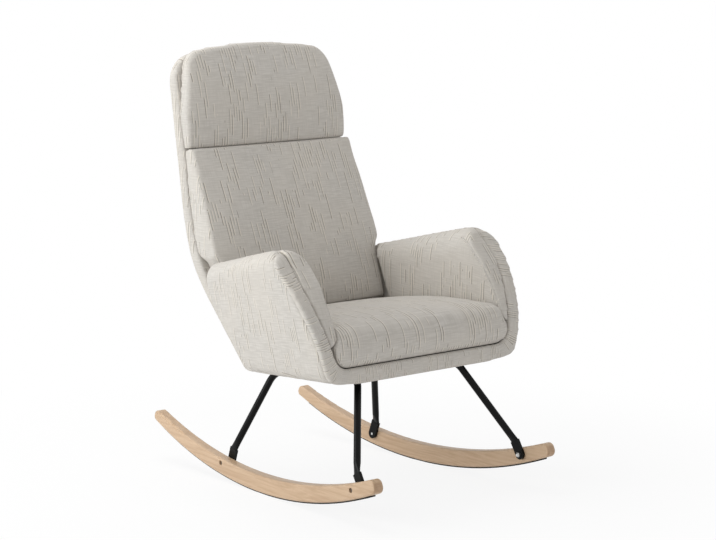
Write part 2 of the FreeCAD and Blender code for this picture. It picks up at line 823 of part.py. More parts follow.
def pad_profile(inset=0.0):
    """Side outline of the pad: the arm's front curve set back, and a rear edge against the back cushion."""
    profile = arm_profile(pad_front_setback + inset)
    setback = back_cushion_bulge + soft_gap + inset
    rear_low = cushion_face(0) - setback
    rear_high = cushion_face(2 * back_cushion_foot) - setback
    points = [V(0, -reach / 2, 0), V(0, rear_low, 0), V(0, rear_high, 2 * back_cushion_foot),
              V(0, rear_high, reach), V(0, -reach / 2, reach)]
    return profile.common(prism_x(polygon(points), 0, reach))


def pad_shape(inset=0.0):
    return arm_body(lambda depth: pad_section(depth, inset)).common(pad_profile(inset))


# Seat cushion

def seat_section(depth, inset):
    """Front view of the seat cushion: rounded lower corners, sides tucked under the arm pads."""
    low = cushion_low + inset
    gap = seat_cushion_side_gap + inset
    upper = pad_inside(depth) - gap
    lean = V(lean_at(depth), 0, 1).normalize()
    half_turn = (math.pi / 2 - math.atan(lean_at(depth))) / 2
    radius = opening_round - inset
    trim = radius * math.tan(half_turn)
    corner = V(arm_inside(depth, low) - gap, depth, low)
    bisector = (lean - V(1, 0, 0)).normalize()
    centre = corner + bisector * (radius / math.cos(half_turn))
    floor = corner - V(trim, 0, 0)
    side = corner + lean * trim
    bulge = V(arm_inside(depth, pad_tip - gap) - gap, depth, pad_tip - gap)
    tuck = V(upper, depth, pad_underside - gap)
    top = V(upper, depth, reach)
    half = [Part.Arc(floor, centre - bisector * radius, side).toShape(),
            Part.LineSegment(side, bulge).toShape(),
            Part.LineSegment(bulge, tuck).toShape(),
            Part.LineSegment(tuck, top).toShape()]
    other = [mirrored(edge) for edge in half]
    ends = [Part.LineSegment(V(-floor.x, depth, low), floor).toShape(),
            Part.LineSegment(top, V(-top.x, depth, reach)).toShape()]
    return Part.Wire(Part.__sortEdges__(half + other + ends))


def seat_cushion_shape(inset=0.0):
    front = seat_cushion_front
    nose = seat_cushion_nose
    bottom_toe = seat_cushion_toe
    low = cushion_low
    edge = seat_cushion_edge
    nose_top = V(0, front + nose, edge)
    rear_top = V(0, cushion_face(edge) - back_cushion_bulge - seat_cushion_rear_gap, edge)
    rear_foot = V(0, rear_top.y - seat_cushion_undercut, low)
    middle = V(0, (nose_top.y + rear_top.y) / 2, seat_cushion_crown)
    corner = 1 - math.sqrt(0.5)
    nose_middle = V(0, front + nose * corner, edge - nose * corner)
    nose_low = V(0, front, edge - nose)
    toe_high = V(0, front, low + bottom_toe)
    toe_middle = V(0, front + bottom_toe * corner, low + bottom_toe * corner)
    toe_low = V(0, front + bottom_toe, low)
    edges = [Part.LineSegment(toe_low, rear_foot).toShape(),
             Part.LineSegment(rear_foot, rear_top).toShape(),
             Part.Arc(rear_top, middle, nose_top).toShape(),
             Part.Arc(nose_top, nose_middle, nose_low).toShape(),
             Part.LineSegment(nose_low, toe_high).toShape(),
             Part.Arc(toe_high, toe_middle, toe_low).toShape()]
    face = face_yz(edges)
    if inset:
        face = Part.Face(face.makeOffset2D(-inset).OuterWire)
    body = arm_body(lambda depth: seat_section(depth, inset))
    solid = prism_x(face, -reach / 2, reach / 2).common(body)

    def upper_side(e):
        outside = abs(e.CenterOfMass.x) > arm_inner_offset / 2
        return outside and e.CenterOfMass.z > pad_underside and e.BoundBox.YLength > 2 * nose

    return round_edges(solid, seat_cushion_side_round - inset, upper_side)


# Back and head cushions

def back_cushion_outline(inset):
    foot_half = arm_inside(arm_rear_top, back_cushion_foot) - back_cushion_side_gap
    crest_half = arm_roll(arm_rear_top)[2].x - back_cushion_side_gap
    ear_low = crest(arm_rear_top) + back_cushion_ear_gap
    points = [V(foot_half - inset, -reach / 2, back_cushion_foot + inset),
              V(crest_half - inset, -reach / 2, ear_low - back_cushion_ear_step + inset),
              V(back_cushion_ear_half_width - inset, -reach / 2, ear_low + inset),
              V(back_cushion_ear_half_width - inset, -reach / 2, ear_low + back_cushion_ear_height),
              V(back_cushion_top_half_width - inset, -reach / 2, back_cushion_top - inset)]
    return outline(points)


def cushion_layer(low, high, face_low, face_high, bulge, inset):
    """Side face between the back's front surface and a bowed front face."""
    rear, rear_low, rear_high = back_line(back_thickness + soft_gap, low, high)
    front_low = V(0, face_low, low)
    front_high = V(0, face_high, high)
    bow = V(0, (face_low + face_high) / 2 - bulge, (low + high) / 2)
    edges = rear + [Part.LineSegment(rear_low, front_low).toShape(),
                    Part.Arc(front_low, bow, front_high).toShape(),
                    Part.LineSegment(front_high, rear_high).toShape()]
    face = face_yz(edges)
    if inset:
        face = Part.Face(face.makeOffset2D(-inset).OuterWire)
    return prism_x(face, -reach / 2, reach / 2)


def front_rim(solid, rounding):
    """Round the rim of the front face."""
    broad = sorted(solid.Faces, key=lambda f: f.Area)[-2:]
    front = min(broad, key=lambda f: f.CenterOfMass.y)
    return solid.makeFillet(rounding, front.Edges)


def back_cushion_shape(inset=0.0):
    layer = cushion_layer(back_cushion_foot, back_cushion_top, cushion_face(back_cushion_foot),
                          cushion_face(back_cushion_top), back_cushion_bulge, inset)
    return front_rim(layer.common(back_cushion_outline(inset)), back_cushion_round - inset)


def head_cushion_shape(inset=0.0):
    face_low = back_depth(head_foot, back_thickness) - head_foot_thickness
    face_high = back_depth(head_top, back_thickness) - head_top_thickness
    layer = cushion_layer(head_foot, head_top, face_low, face_high, head_bulge, inset)
    points = [V(head_foot_half_width - inset, -reach / 2, head_foot + inset),
              V(head_half_width - inset, -reach / 2, head_taper_start),
              V(head_top_half_width - inset, -reach / 2, head_top - head_crown - inset)]
    plan = crowned_outline(points, head_crown)
    plan = round_edges(plan, head_corner_radius, upright_corner(head_taper_start + 1))
    return front_rim(layer.common(plan), head_round - inset)


def cover_of(shape):
    """The sewn cover of a cushion."""
    return shape(0).cut(shape(cover_thickness))


def foam_of(shape):
    """The foam block that fills a cover."""
    return shape(cover_thickness + hole_clearance)


def bag_of(shape):
    """The inner bag that holds loose fibre filling in a cover."""
    return foam_of(shape).cut(shape(cover_thickness + hole_clearance + fill_bag_wall))


# Seat box

def between_rails(near, far, low, high, inset=rail_gap):
    """A board across the seat, fitted between the side rails."""
    points = [V(s * (rail_inner(d) - inset), d, low) for d, s in ((near, 1), (far, 1), (far, -1), (near, -1))]
    return polygon(points).extrude(V(0, 0, high - low))


rail_front = border_depth + rail_gap
rail_rear = back_depth(rail_bottom, back_thickness) - rail_gap


def side_rail_shape():
    front = V(rail_inner(rail_front), rail_front, rail_bottom)
    rear = V(rail_inner(rail_rear), rail_rear, rail_bottom)
    across = V(rail_thickness, 0, 0)
    points = [front, front + across, rear + across, rear]
    return drilled_for_arm_bolts(polygon(points).extrude(V(0, 0, rail_top - rail_bottom)))


def rear_rail_shape():
    low = V(0, rear_rail_face(rail_bottom), rail_bottom)
    high = V(0, rear_rail_face(rail_top), rail_top)
    back = V(0, rail_thickness, 0)
    half = rail_inner(rail_rear) - rail_gap
    return drilled_for_back_bolts(prism_x(polygon([low, low + back, high + back, high]), -half, half))


def corner_block(corner_d):
    """A three-cornered block glued between a side rail and an end rail."""
    low = rail_bottom + corner_block_inset
    inner = rail_inner(corner_d) - rail_gap
    points = [V(inner, corner_d, low), V(inner - corner_block_leg, corner_d, low),
              V(rail_inner(corner_d + corner_block_leg) - rail_gap, corner_d + corner_block_leg, low)]
    return polygon(points).extrude(V(0, 0, rail_top - rail_bottom - 2 * corner_block_inset))


def plate_centres():
    return [V(leg_run_offset, d, 0) for d in (front_cross_rail_middle, rear_cross_rail_middle)]


def plate_bolt_places():
    return [c + V(s * plate_bolt_offset, 0, 0) for c in plate_centres() for s in (-1, 1)]


plate_low = rail_bottom - plate_thickness


def plates_shape():
    plates = []
    for centre in plate_centres():
        plate = Part.makeBox(plate_length, plate_depth, plate_thickness,
                             centre + V(-plate_length / 2, -plate_depth / 2, plate_low))
        for s in (-1, 1):
            plate = plate.cut(cylinder(bolt_radius + hole_clearance, reach,
                                       centre + V(s * plate_bolt_offset, 0, -reach / 2), V(0, 0, 1)))
        plates.append(plate)
    return Part.makeCompound(plates)


def plate_bolts_shape():
    bolts = []
    for place in plate_bolt_places():
        head_end = place + V(0, 0, plate_low - bolt_head_height)
        head = cylinder(bolt_head_diameter / 2, bolt_head_height, head_end, V(0, 0, 1))
        length = plate_thickness + cross_rail_thickness
        bolts.append(head.fuse(cylinder(bolt_radius, length, place + V(0, 0, plate_low), V(0, 0, 1))))
    return Part.makeCompound(bolts)


cross_rail_top = rail_bottom + cross_rail_thickness


def t_nuts_shape():
    nuts = []
    for place in plate_bolt_places():
        top = place + V(0, 0, cross_rail_top)
        barrel = cylinder(t_nut_barrel / 2, t_nut_length, top - V(0, 0, t_nut_length), V(0, 0, 1))
        flange = cylinder(t_nut_flange / 2, t_nut_flange_thickness, top, V(0, 0, 1))
        bore = cylinder(bolt_radius + thread_clearance, reach, place - V(0, 0, reach / 2), V(0, 0, 1))
        nuts.append(barrel.fuse(flange).cut(bore))
    return Part.makeCompound(nuts)


def cross_rail_shape(middle):
    half = cross_rail_depth / 2
    board = between_rails(middle - half, middle + half, rail_bottom, cross_rail_top)
    for place in plate_bolt_places():
        for side in (-1, 1):
            spot = V(side * place.x, place.y, 0)
            start = spot - V(0, 0, reach / 2)
            board = board.cut(cylinder(bolt_radius + hole_clearance, reach, start, V(0, 0, 1)))
            pocket = t_nut_length + hole_clearance
            board = board.cut(cylinder(t_nut_barrel / 2 + thread_clearance, pocket,
                                       spot + V(0, 0, cross_rail_top - pocket), V(0, 0, 1)))
    return board


def dust_cover_shape():
    high = rail_bottom - webbing_gap / 2
    low = high - dust_cover_thickness
    rear = back_depth(low, back_thickness) - rail_gap
    sheet = between_rails(rail_front, rear, low, high, -rail_thickness + soft_gap)
    for centre in plate_centres():
        for side in (-1, 1):
            opening = Part.makeBox(plate_length + 2 * soft_gap, plate_depth + 2 * soft_gap, reach,
                                   V(side * centre.x - plate_length / 2 - soft_gap,
                                     centre.y - plate_depth / 2 - soft_gap, -reach / 2))
            sheet = sheet.cut(opening)
    return sheet


def seat_straps_long():
    low = rail_top + webbing_gap
    rear = back_depth(rail_top, back_thickness) - rail_gap
    length = rear - rail_front
    starts = [V(x - webbing_width / 2, rail_front, low) for x in seat_strap_offsets]
    straps = [Part.makeBox(webbing_width, length, webbing_thickness, start) for start in starts]
    return Part.makeCompound(straps)


def seat_straps_cross():
    low = rail_top + 2 * webbing_gap + webbing_thickness
    high = low + webbing_thickness
    half = webbing_width / 2
    straps = [between_rails(d - half, d + half, low, high, -rail_thickness) for d in seat_strap_depths]
    return Part.makeCompound(straps)


def deck_shape():
    rear = back_depth(rail_top, back_thickness) - rail_gap
    return between_rails(rail_front, rear, deck_low, deck_low + deck_thickness, -rail_thickness)


def seat_border_shape():
    half = seam_offset - soft_gap
    return Part.makeBox(2 * half, border_depth, border_height, V(-half, 0, 0))


def back_straps():
    straps = []
    for i in range(back_strap_count):
        low = back_strap_low + i * back_strap_pitch
        straps.append(back_layer(post_deep + webbing_gap, post_deep + webbing_gap + webbing_thickness,
                                 low, low + webbing_width, -post_outer, post_outer))
    return Part.makeCompound(straps)


os.makedirs("parts", exist_ok=True)

save_pair("rocker", on_rocker(rocker_shape()))
save_pair("rocker_strip", on_rocker(strip_shape()))
save_pair("leg_frame", leg_frame_shape())

front_place, rear_place = bolt_places()
foot_inside = -rocker_width / 2 - foot_thickness
bolts = Part.makeCompound([on_rocker(rocker_bolt(front_place, foot_inside - nut_engagement)),
                           on_rocker(rocker_bolt(rear_place, foot_inside))])
save("rocker_bolts", with_mirror(bolts))
save("rocker_nuts", with_mirror(on_rocker(dome_nut(front_place))))

save_seat_pair("seat_rail", side_rail_shape())
save_seat("seat_rail_front", between_rails(rail_front, rail_front + rail_thickness, rail_bottom, rail_top))
save_seat("seat_rail_rear", rear_rail_shape())
save_seat("cross_rail_front", cross_rail_shape(front_cross_rail_middle))
save_seat("cross_rail_rear", cross_rail_shape(rear_cross_rail_middle))
front_block = corner_block(rail_front + rail_thickness + rail_gap)
save_seat("corner_blocks", with_mirror(front_block))
save_seat("leg_plates", with_mirror(plates_shape()))
save_seat("plate_bolts", with_mirror(plate_bolts_shape()))
save_seat("t_nuts", with_mirror(t_nuts_shape()))
save_seat("dust_cover", dust_cover_shape())
save_seat("seat_webbing_long", seat_straps_long())
save_seat("seat_webbing_cross", seat_straps_cross())
save_seat("seat_deck", deck_shape())

post = back_layer(post_setback, post_deep, post_foot, post_top, post_inner, post_outer)
save_seat_pair("back_post", drilled_for_back_bolts(post))
back_rail_half = post_inner - rail_gap
save_seat("back_rail_top", back_layer(post_setback, post_deep, post_top - top_rail_height, post_top,
                                      -back_rail_half, back_rail_half))
middle_rail_high = middle_rail_low + middle_rail_height
save_seat("back_rail_middle", back_layer(post_setback, post_deep, middle_rail_low, middle_rail_high,
                                         -back_rail_half, back_rail_half))
save_seat("back_webbing", back_straps())
save_seat("back_bolts", back_bolt_shape())
save_seat("back_panel", back_panel_shape())

save_seat_pair("arm_board", drilled_for_arm_bolts(arm_board_shape()))
save_seat("arm_bolts", with_mirror(arm_bolts_shape()))
save_seat_pair("arm_panel", arm_panel_shape())
save_seat_pair("arm_border", arm_border_shape())
save_seat("seat_border", seat_border_shape())

save_seat_pair("arm_pad_cover", cover_of(pad_shape))
save_seat_pair("arm_pad_foam", foam_of(pad_shape))
save_seat("seat_cushion_cover", cover_of(seat_cushion_shape))
save_seat("seat_cushion_foam", foam_of(seat_cushion_shape))
save_seat("back_cushion_cover", cover_of(back_cushion_shape))
save_seat("back_cushion_fill_bag", bag_of(back_cushion_shape))
save_seat("head_cushion_cover", cover_of(head_cushion_shape))
save_seat("head_cushion_fill_bag", bag_of(head_cushion_shape))
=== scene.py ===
# %% [markdown]
# An upholstered rocking chair: a padded shell with flared arms, loose cushions, bent steel legs and beech
# rockers. The solids of the chair come in first and stay where they are. Everything below dresses them:
# rigid pieces get smoothly shaded copies, and soft pieces are swollen with a cloth simulation.

import json
import math

import bmesh
import bpy
import numpy as np
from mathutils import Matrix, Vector


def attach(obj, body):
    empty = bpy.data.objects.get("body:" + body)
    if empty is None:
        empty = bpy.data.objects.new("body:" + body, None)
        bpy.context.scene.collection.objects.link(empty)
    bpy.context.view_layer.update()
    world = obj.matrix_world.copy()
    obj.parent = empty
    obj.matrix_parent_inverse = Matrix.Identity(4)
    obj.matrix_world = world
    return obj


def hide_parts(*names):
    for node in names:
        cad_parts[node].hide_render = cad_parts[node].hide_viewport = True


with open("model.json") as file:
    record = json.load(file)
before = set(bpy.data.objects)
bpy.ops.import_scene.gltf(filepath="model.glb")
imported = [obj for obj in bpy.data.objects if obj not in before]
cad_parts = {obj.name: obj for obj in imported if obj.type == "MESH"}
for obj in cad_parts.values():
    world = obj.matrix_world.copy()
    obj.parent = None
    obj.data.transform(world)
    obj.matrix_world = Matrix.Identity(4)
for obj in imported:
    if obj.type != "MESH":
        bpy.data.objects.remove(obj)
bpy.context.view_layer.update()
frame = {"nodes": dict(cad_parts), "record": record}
scene = bpy.context.scene
scene.view_settings.view_transform = "Standard"
print("nodes", len(frame["nodes"]))

# %% [markdown]
# The camera stands where the photographer stood, to the sitter's right of the chair and a little above
# the seat. A long lens keeps the far rocker almost as large as the near one.

# %% Camera
camera_place = Vector((-3.181, -3.843, 1.274))
camera_target = Vector((0.147, 0.120, 0.4545))
camera_data = bpy.data.cameras.new("camera")
camera_data.lens = 110.6
camera_data.sensor_width = 36.0
camera = bpy.data.objects.new("camera", camera_data)
camera.location = camera_place
camera.rotation_euler = (camera_target - camera_place).to_track_quat("-Z", "Y").to_euler()
scene.collection.objects.link(camera)
scene.camera = camera
print("camera", tuple(round(v, 3) for v in camera.location))

# %% [markdown]
# Materials are node trees, so small helpers keep them readable. One adds a node and fills its sockets.
# The others add a sum, a smooth step between two limits, a noise, a blend of colours, a group or a
# material.

# %% Helpers for node trees
def add(tree, kind, inputs=None, **settings):
    """A node with its sockets filled from values or from other nodes' sockets."""
    made = tree.nodes.new(kind)
    for name, value in settings.items():
        setattr(made, name, value)
    for socket, value in (inputs or {}).items():
        if isinstance(value, bpy.types.NodeSocket):
            tree.links.new(value, made.inputs[socket])
        else:
            made.inputs[socket].default_value = value
    return made


def calc(tree, operation, first, second=0.0, third=0.0):
    return add(tree, "ShaderNodeMath", {0: first, 1: second, 2: third}, operation=operation).outputs[0]


def step(tree, value, low, high, start=0.0, end=1.0):
    """From start to end as value goes from low to high, with soft ends."""
    sockets = {"Value": value, "From Min": low, "From Max": high, "To Min": start, "To Max": end}
    return add(tree, "ShaderNodeMapRange", sockets, interpolation_type="SMOOTHSTEP").outputs["Result"]


def noise(tree, place, scale, detail):
    return add(tree, "ShaderNodeTexNoise", {"Vector": place, "Scale": scale, "Detail": detail}).outputs["Fac"]


def stretch(tree, place, scale):
    return add(tree, "ShaderNodeMapping", {"Vector": place, "Scale": scale}).outputs[0]


def blend_colour(tree, share, first, second, mode="MIX"):
    made = add(tree, "ShaderNodeMix", data_type="RGBA", blend_type=mode)
    for socket, value in ((0, share), (6, first), (7, second)):
        if isinstance(value, bpy.types.NodeSocket):
            tree.links.new(value, made.inputs[socket])
        else:
            made.inputs[socket].default_value = value
    return made.outputs[2]


def new_group(name, inputs, outputs):
    """An empty shader node group with named sockets, and its two end nodes."""
    tree = bpy.data.node_groups.new(name, "ShaderNodeTree")
    for label, kind in inputs:
        tree.interface.new_socket(label, in_out="INPUT", socket_type="NodeSocket" + kind)
    for label, kind in outputs:
        tree.interface.new_socket(label, in_out="OUTPUT", socket_type="NodeSocket" + kind)
    return tree, tree.nodes.new("NodeGroupInput").outputs, tree.nodes.new("NodeGroupOutput").inputs


def new_material(name, **shader):
    """A material with a Principled shader whose plain sockets are set here."""
    material = bpy.data.materials.new(name)
    material.use_nodes = True
    tree = material.node_tree
    tree.nodes.clear()
    sockets = {key.replace("_", " "): value for key, value in shader.items()}
    principled = add(tree, "ShaderNodeBsdfPrincipled", sockets)
    out = add(tree, "ShaderNodeOutputMaterial")
    tree.links.new(principled.outputs[0], out.inputs["Surface"])
    return material, tree, principled


def place_group(tree, group, inputs):
    return add(tree, "ShaderNodeGroup", inputs, node_tree=group)


def bump(tree, principled, height, distance, strength=1.0):
    made = add(tree, "ShaderNodeBump", {"Height": height, "Distance": distance, "Strength": strength})
    tree.links.new(made.outputs[0], principled.inputs["Normal"])


# %% [markdown]
# The room is a pale floor that runs out into a white world, as in a shop photograph. The floor near the
# chair takes a soft shadow, and fades to plain white further out so that no horizon shows. One large soft
# lamp behind the sitter's right makes the outer arm the brightest side and leaves the front of the far
# rocker in shade. A lamp overhead, a little behind, lifts the seat and the arm tops and leaves the foot
# of the back dark. The world fills the rest. Its light is stronger near the horizon, as from pale walls,
# so that front faces are lit from low down.

# %% Floor, world and lamps
floor_size = 6.0
shadow_reach = (0.5, 1.3)
near_glow = 0.87
horizon_level = 1.28
zenith_level = 0.34
lamp_size = 2.2


def seen_by_eye(tree):
    """1 for rays that show the surface to the camera, in a mirror or through glass."""
    path = add(tree, "ShaderNodeLightPath").outputs
    both = calc(tree, "MAXIMUM", path["Is Camera Ray"], path["Is Glossy Ray"])
    return calc(tree, "MAXIMUM", both, path["Is Transmission Ray"])


def floor_material():
    material = bpy.data.materials.new("floor_paper")
    material.use_nodes = True
    tree = material.node_tree
    tree.nodes.clear()
    place = add(tree, "ShaderNodeTexCoord").outputs["Object"]
    far = add(tree, "ShaderNodeVectorMath", {0: place}, operation="LENGTH").outputs["Value"]
    seen = seen_by_eye(tree)
    glow_share = calc(tree, "MULTIPLY", step(tree, far, *shadow_reach, near_glow, 1.0), seen)
    paper = add(tree, "ShaderNodeBsdfDiffuse", {"Color": (0.9, 0.9, 0.9, 1)})
    glow = add(tree, "ShaderNodeEmission", {"Color": (1, 1, 1, 1), "Strength": 1.0})
    mixed = add(tree, "ShaderNodeMixShader", {0: glow_share, 1: paper.outputs[0], 2: glow.outputs[0]})
    out = add(tree, "ShaderNodeOutputMaterial")
    tree.links.new(mixed.outputs[0], out.inputs["Surface"])
    return material


def make_floor():
    bm = bmesh.new()
    bmesh.ops.create_grid(bm, x_segments=1, y_segments=1, size=floor_size)
    mesh = bpy.data.meshes.new("floor")
    bm.to_mesh(mesh)
    bm.free()
    floor = bpy.data.objects.new("floor", mesh)
    scene.collection.objects.link(floor)
    floor.data.materials.append(floor_material())


def make_world():
    world = bpy.data.worlds.new("studio")
    world.use_nodes = True
    tree = world.node_tree
    tree.nodes.clear()
    way = add(tree, "ShaderNodeTexCoord").outputs["Generated"]
    rise = calc(tree, "ABSOLUTE", add(tree, "ShaderNodeSeparateXYZ", {0: way}).outputs["Z"])
    light_level = step(tree, rise, 0.0, 0.7, horizon_level, zenith_level)
    strength = step(tree, seen_by_eye(tree), 0.0, 1.0, light_level, 1.0)
    glow = add(tree, "ShaderNodeBackground", {"Color": (1, 1, 1, 1), "Strength": strength})
    out = add(tree, "ShaderNodeOutputWorld")
    tree.links.new(glow.outputs[0], out.inputs["Surface"])
    scene.world = world


def make_lamp(name, place, target, watts, colour):
    data = bpy.data.lights.new(name, "AREA")
    data.shape = "DISK"
    data.size = lamp_size
    data.energy = watts
    data.color = colour
    lamp = bpy.data.objects.new(name, data)
    lamp.location = place
    lamp.rotation_euler = (Vector(target) - Vector(place)).to_track_quat("-Z", "Y").to_euler()
    scene.collection.objects.link(lamp)


make_floor()
make_world()
make_lamp("side_lamp", place=(-3.2, 1.0, 1.4), target=(0.0, 0.0, 0.5), watts=56.0, colour=(0.95, 0.98, 1.0))
make_lamp("top_lamp", place=(-0.3, 1.0, 3.1), target=(0.0, 0.0, 0.4), watts=42.0, colour=(1.0, 1.0, 1.0))
print("lamps", [lamp.name for lamp in bpy.data.lights])

# %% [markdown]
# The cloth is a pale greige weave. Short slub threads stand in loose clusters: a dark thread with a light
# one beside it, running along the cloth for a few centimetres. A printed image would be the quick way,
# but here the threads are worked out from the cloth's own UV map, which is laid in metres further down.
# The cloth is cut into narrow columns and each column into lengths. A random number for each length says
# whether a slub is there, and a slow noise gathers them into clusters.

# %% Weave of the cloth
slub_pitch = 0.0072
slub_length = 0.075
thread_pitch = 0.0019
thread_wobble = 0.0024
slub_end = 0.06                   # share of a length over which a slub fades in or out
slub_slack = 0.40                 # share of a length by which a slub's ends vary
ground_colours = ((0.500, 0.472, 0.432, 1), (0.600, 0.572, 0.530, 1))
fibre_colour = (0.470, 0.440, 0.400, 1)
warm_colour = (0.610, 0.560, 0.490, 1)
dark_slub_colour = (0.190, 0.162, 0.130, 1)
light_slub_colour = (0.735, 0.680, 0.590, 1)
weave_depth = 0.0004


def make_weave_group():
    tree, given, out = new_group("slub_weave", [("Place", "Vector")],
                                 [("Colour", "Color"), ("Height", "Float")])
    place = given["Place"]
    wobble = noise(tree, place, 28.0, 2.0)
    apart = add(tree, "ShaderNodeSeparateXYZ", {0: place}).outputs
    across = calc(tree, "MULTIPLY_ADD", wobble, thread_wobble, apart["X"])
    along = apart["Y"]

    column = calc(tree, "DIVIDE", across, slub_pitch)
    column_number = calc(tree, "FLOOR", column)
    offside = calc(tree, "SUBTRACT", calc(tree, "FRACT", column), 0.5)
    drawn = add(tree, "ShaderNodeTexWhiteNoise", {"W": column_number}, noise_dimensions="1D")
    shift = calc(tree, "MULTIPLY", drawn.outputs["Value"], 9.0)
    length = calc(tree, "ADD", calc(tree, "DIVIDE", along, slub_length), shift)
    length_number = calc(tree, "FLOOR", length)
    within = calc(tree, "FRACT", length)
    cell = add(tree, "ShaderNodeCombineXYZ", {"X": column_number, "Y": length_number}).outputs[0]
    chance = add(tree, "ShaderNodeTexWhiteNoise", {"Vector": cell}, noise_dimensions="2D")
    start, finish, tone = add(tree, "ShaderNodeSeparateColor", {0: chance.outputs["Color"]}).outputs

    stretched = stretch(tree, place, (1.0, 0.55, 1.0))
    gather = noise(tree, stretched, 17.0, 1.0)
    likely = step(tree, gather, 0.40, 0.66, 0.10, 0.95)
    there = calc(tree, "LESS_THAN", chance.outputs["Value"], likely)
    first_end = calc(tree, "MULTIPLY", start, slub_slack)
    last_end = calc(tree, "MULTIPLY_ADD", finish, slub_slack, 0.55)
    begun = step(tree, within, first_end, calc(tree, "ADD", first_end, slub_end))
    ended = step(tree, within, last_end, calc(tree, "ADD", last_end, slub_end), 1.0, 0.0)
    present = calc(tree, "MULTIPLY", there, calc(tree, "MULTIPLY", begun, ended))

    def line(middle, half):
        gap = calc(tree, "ABSOLUTE", calc(tree, "SUBTRACT", offside, middle))
        return calc(tree, "MULTIPLY", present, step(tree, gap, 0.4 * half, half, 1.0, 0.0))

    dark_line = line(middle=-0.15, half=0.18)
    light_line = line(middle=0.18, half=0.21)

    weft = calc(tree, "SINE", calc(tree, "MULTIPLY", along, 2 * math.pi / thread_pitch))
    warp = calc(tree, "SINE", calc(tree, "MULTIPLY", across, 2 * math.pi / (1.3 * thread_pitch)))
    threads = calc(tree, "MULTIPLY", weft, warp)
    streak_place = stretch(tree, place, (26.0, 420.0, 1.0))
    streak = noise(tree, streak_place, 1.0, 2.0)
    fibre_place = stretch(tree, place, (360.0, 30.0, 1.0))
    fibre = noise(tree, fibre_place, 1.0, 2.0)
    slow = noise(tree, place, 7.0, 2.0)

    ground = blend_colour(tree, step(tree, streak, 0.3, 0.7), *ground_colours)
    ground = blend_colour(tree, step(tree, fibre, 0.35, 0.75, 0.0, 0.5), ground, fibre_colour)
    ground = blend_colour(tree, step(tree, slow, 0.35, 0.65, 0.0, 0.25), ground, warm_colour)
    dark_share = calc(tree, "MULTIPLY", dark_line, step(tree, tone, 0.0, 1.0, 0.35, 0.80))
    coloured = blend_colour(tree, dark_share, ground, dark_slub_colour)
    light_share = calc(tree, "MULTIPLY", light_line, 0.60)
    coloured = blend_colour(tree, light_share, coloured, light_slub_colour)
    tree.links.new(coloured, out["Colour"])

    height = calc(tree, "MULTIPLY", threads, 0.16)
    height = calc(tree, "ADD", height, calc(tree, "MULTIPLY", streak, 0.5))
    height = calc(tree, "ADD", height, calc(tree, "MULTIPLY", light_line, 0.75))
    height = calc(tree, "SUBTRACT", height, calc(tree, "MULTIPLY", dark_line, 0.35))
    tree.links.new(height, out["Height"])
    return tree


def make_upholstery(weave):
    material, tree, principled = new_material("slub_cloth", Roughness=0.92, Sheen_Weight=0.12,
                                              Sheen_Roughness=0.5, Specular_IOR_Level=0.25)
    laid = add(tree, "ShaderNodeUVMap", uv_map="cloth").outputs[0]
    cloth = place_group(tree, weave, {"Place": laid}).outputs
    tree.links.new(cloth["Colour"], principled.inputs["Base Color"])
    bump(tree, principled, cloth["Height"], weave_depth, 0.35)
    return material


upholstery = make_upholstery(make_weave_group())
print("material", upholstery.name)

# %% [markdown]
# The rockers are lacquered beech: pale, with the grain along the length, fine darker lines and the short
# brown flecks that beech shows on every face. The frame inside is the same wood, rough sawn and browner.
# A shared grain group stretches noise along one axis, and each wood sets its own colours and finish.

# %% Woods
grain_scale = 30.0
end_grain_facing = (0.62, 0.92)
end_grain_share = 0.35


def make_grain_group():
    tree, given, out = new_group("wood_grain", [("Place", "Vector"), ("Pale", "Color"), ("Dark", "Color")],
                                 [("Colour", "Color"), ("Height", "Float")])
    place = given["Place"]
    slow_place = stretch(tree, place, (0.35, 0.09, 0.35))
    bend = noise(tree, slow_place, 1.0, 1.0)
    lifted = add(tree, "ShaderNodeCombineXYZ", {"X": bend, "Z": bend}).outputs[0]
    flowing = add(tree, "ShaderNodeVectorMath", {0: place, 1: lifted}, operation="ADD").outputs[0]
    line_place = stretch(tree, flowing, (1.0, 0.035, 1.0))
    rings = noise(tree, line_place, 5.5, 5.0)
    fine = noise(tree, line_place, 26.0, 3.0)
    fleck_place = stretch(tree, place, (1.0, 0.16, 1.0))
    fleck = add(tree, "ShaderNodeTexVoronoi", {"Vector": fleck_place, "Scale": 15.0}).outputs["Distance"]
    flecks = step(tree, fleck, 0.10, 0.20, 1.0, 0.0)
    tone = step(tree, rings, 0.36, 0.70, 0.0, 0.75)
    coloured = blend_colour(tree, tone, given["Pale"], given["Dark"])
    coloured = blend_colour(tree, step(tree, fine, 0.45, 0.75, 0.0, 0.30), coloured, given["Dark"])
    coloured = blend_colour(tree, calc(tree, "MULTIPLY", flecks, 0.14), coloured, given["Dark"], "MULTIPLY")
    tree.links.new(coloured, out["Colour"])
    height = calc(tree, "ADD", calc(tree, "MULTIPLY", fine, 0.6), calc(tree, "MULTIPLY", flecks, -0.3))
    tree.links.new(height, out["Height"])
    return tree


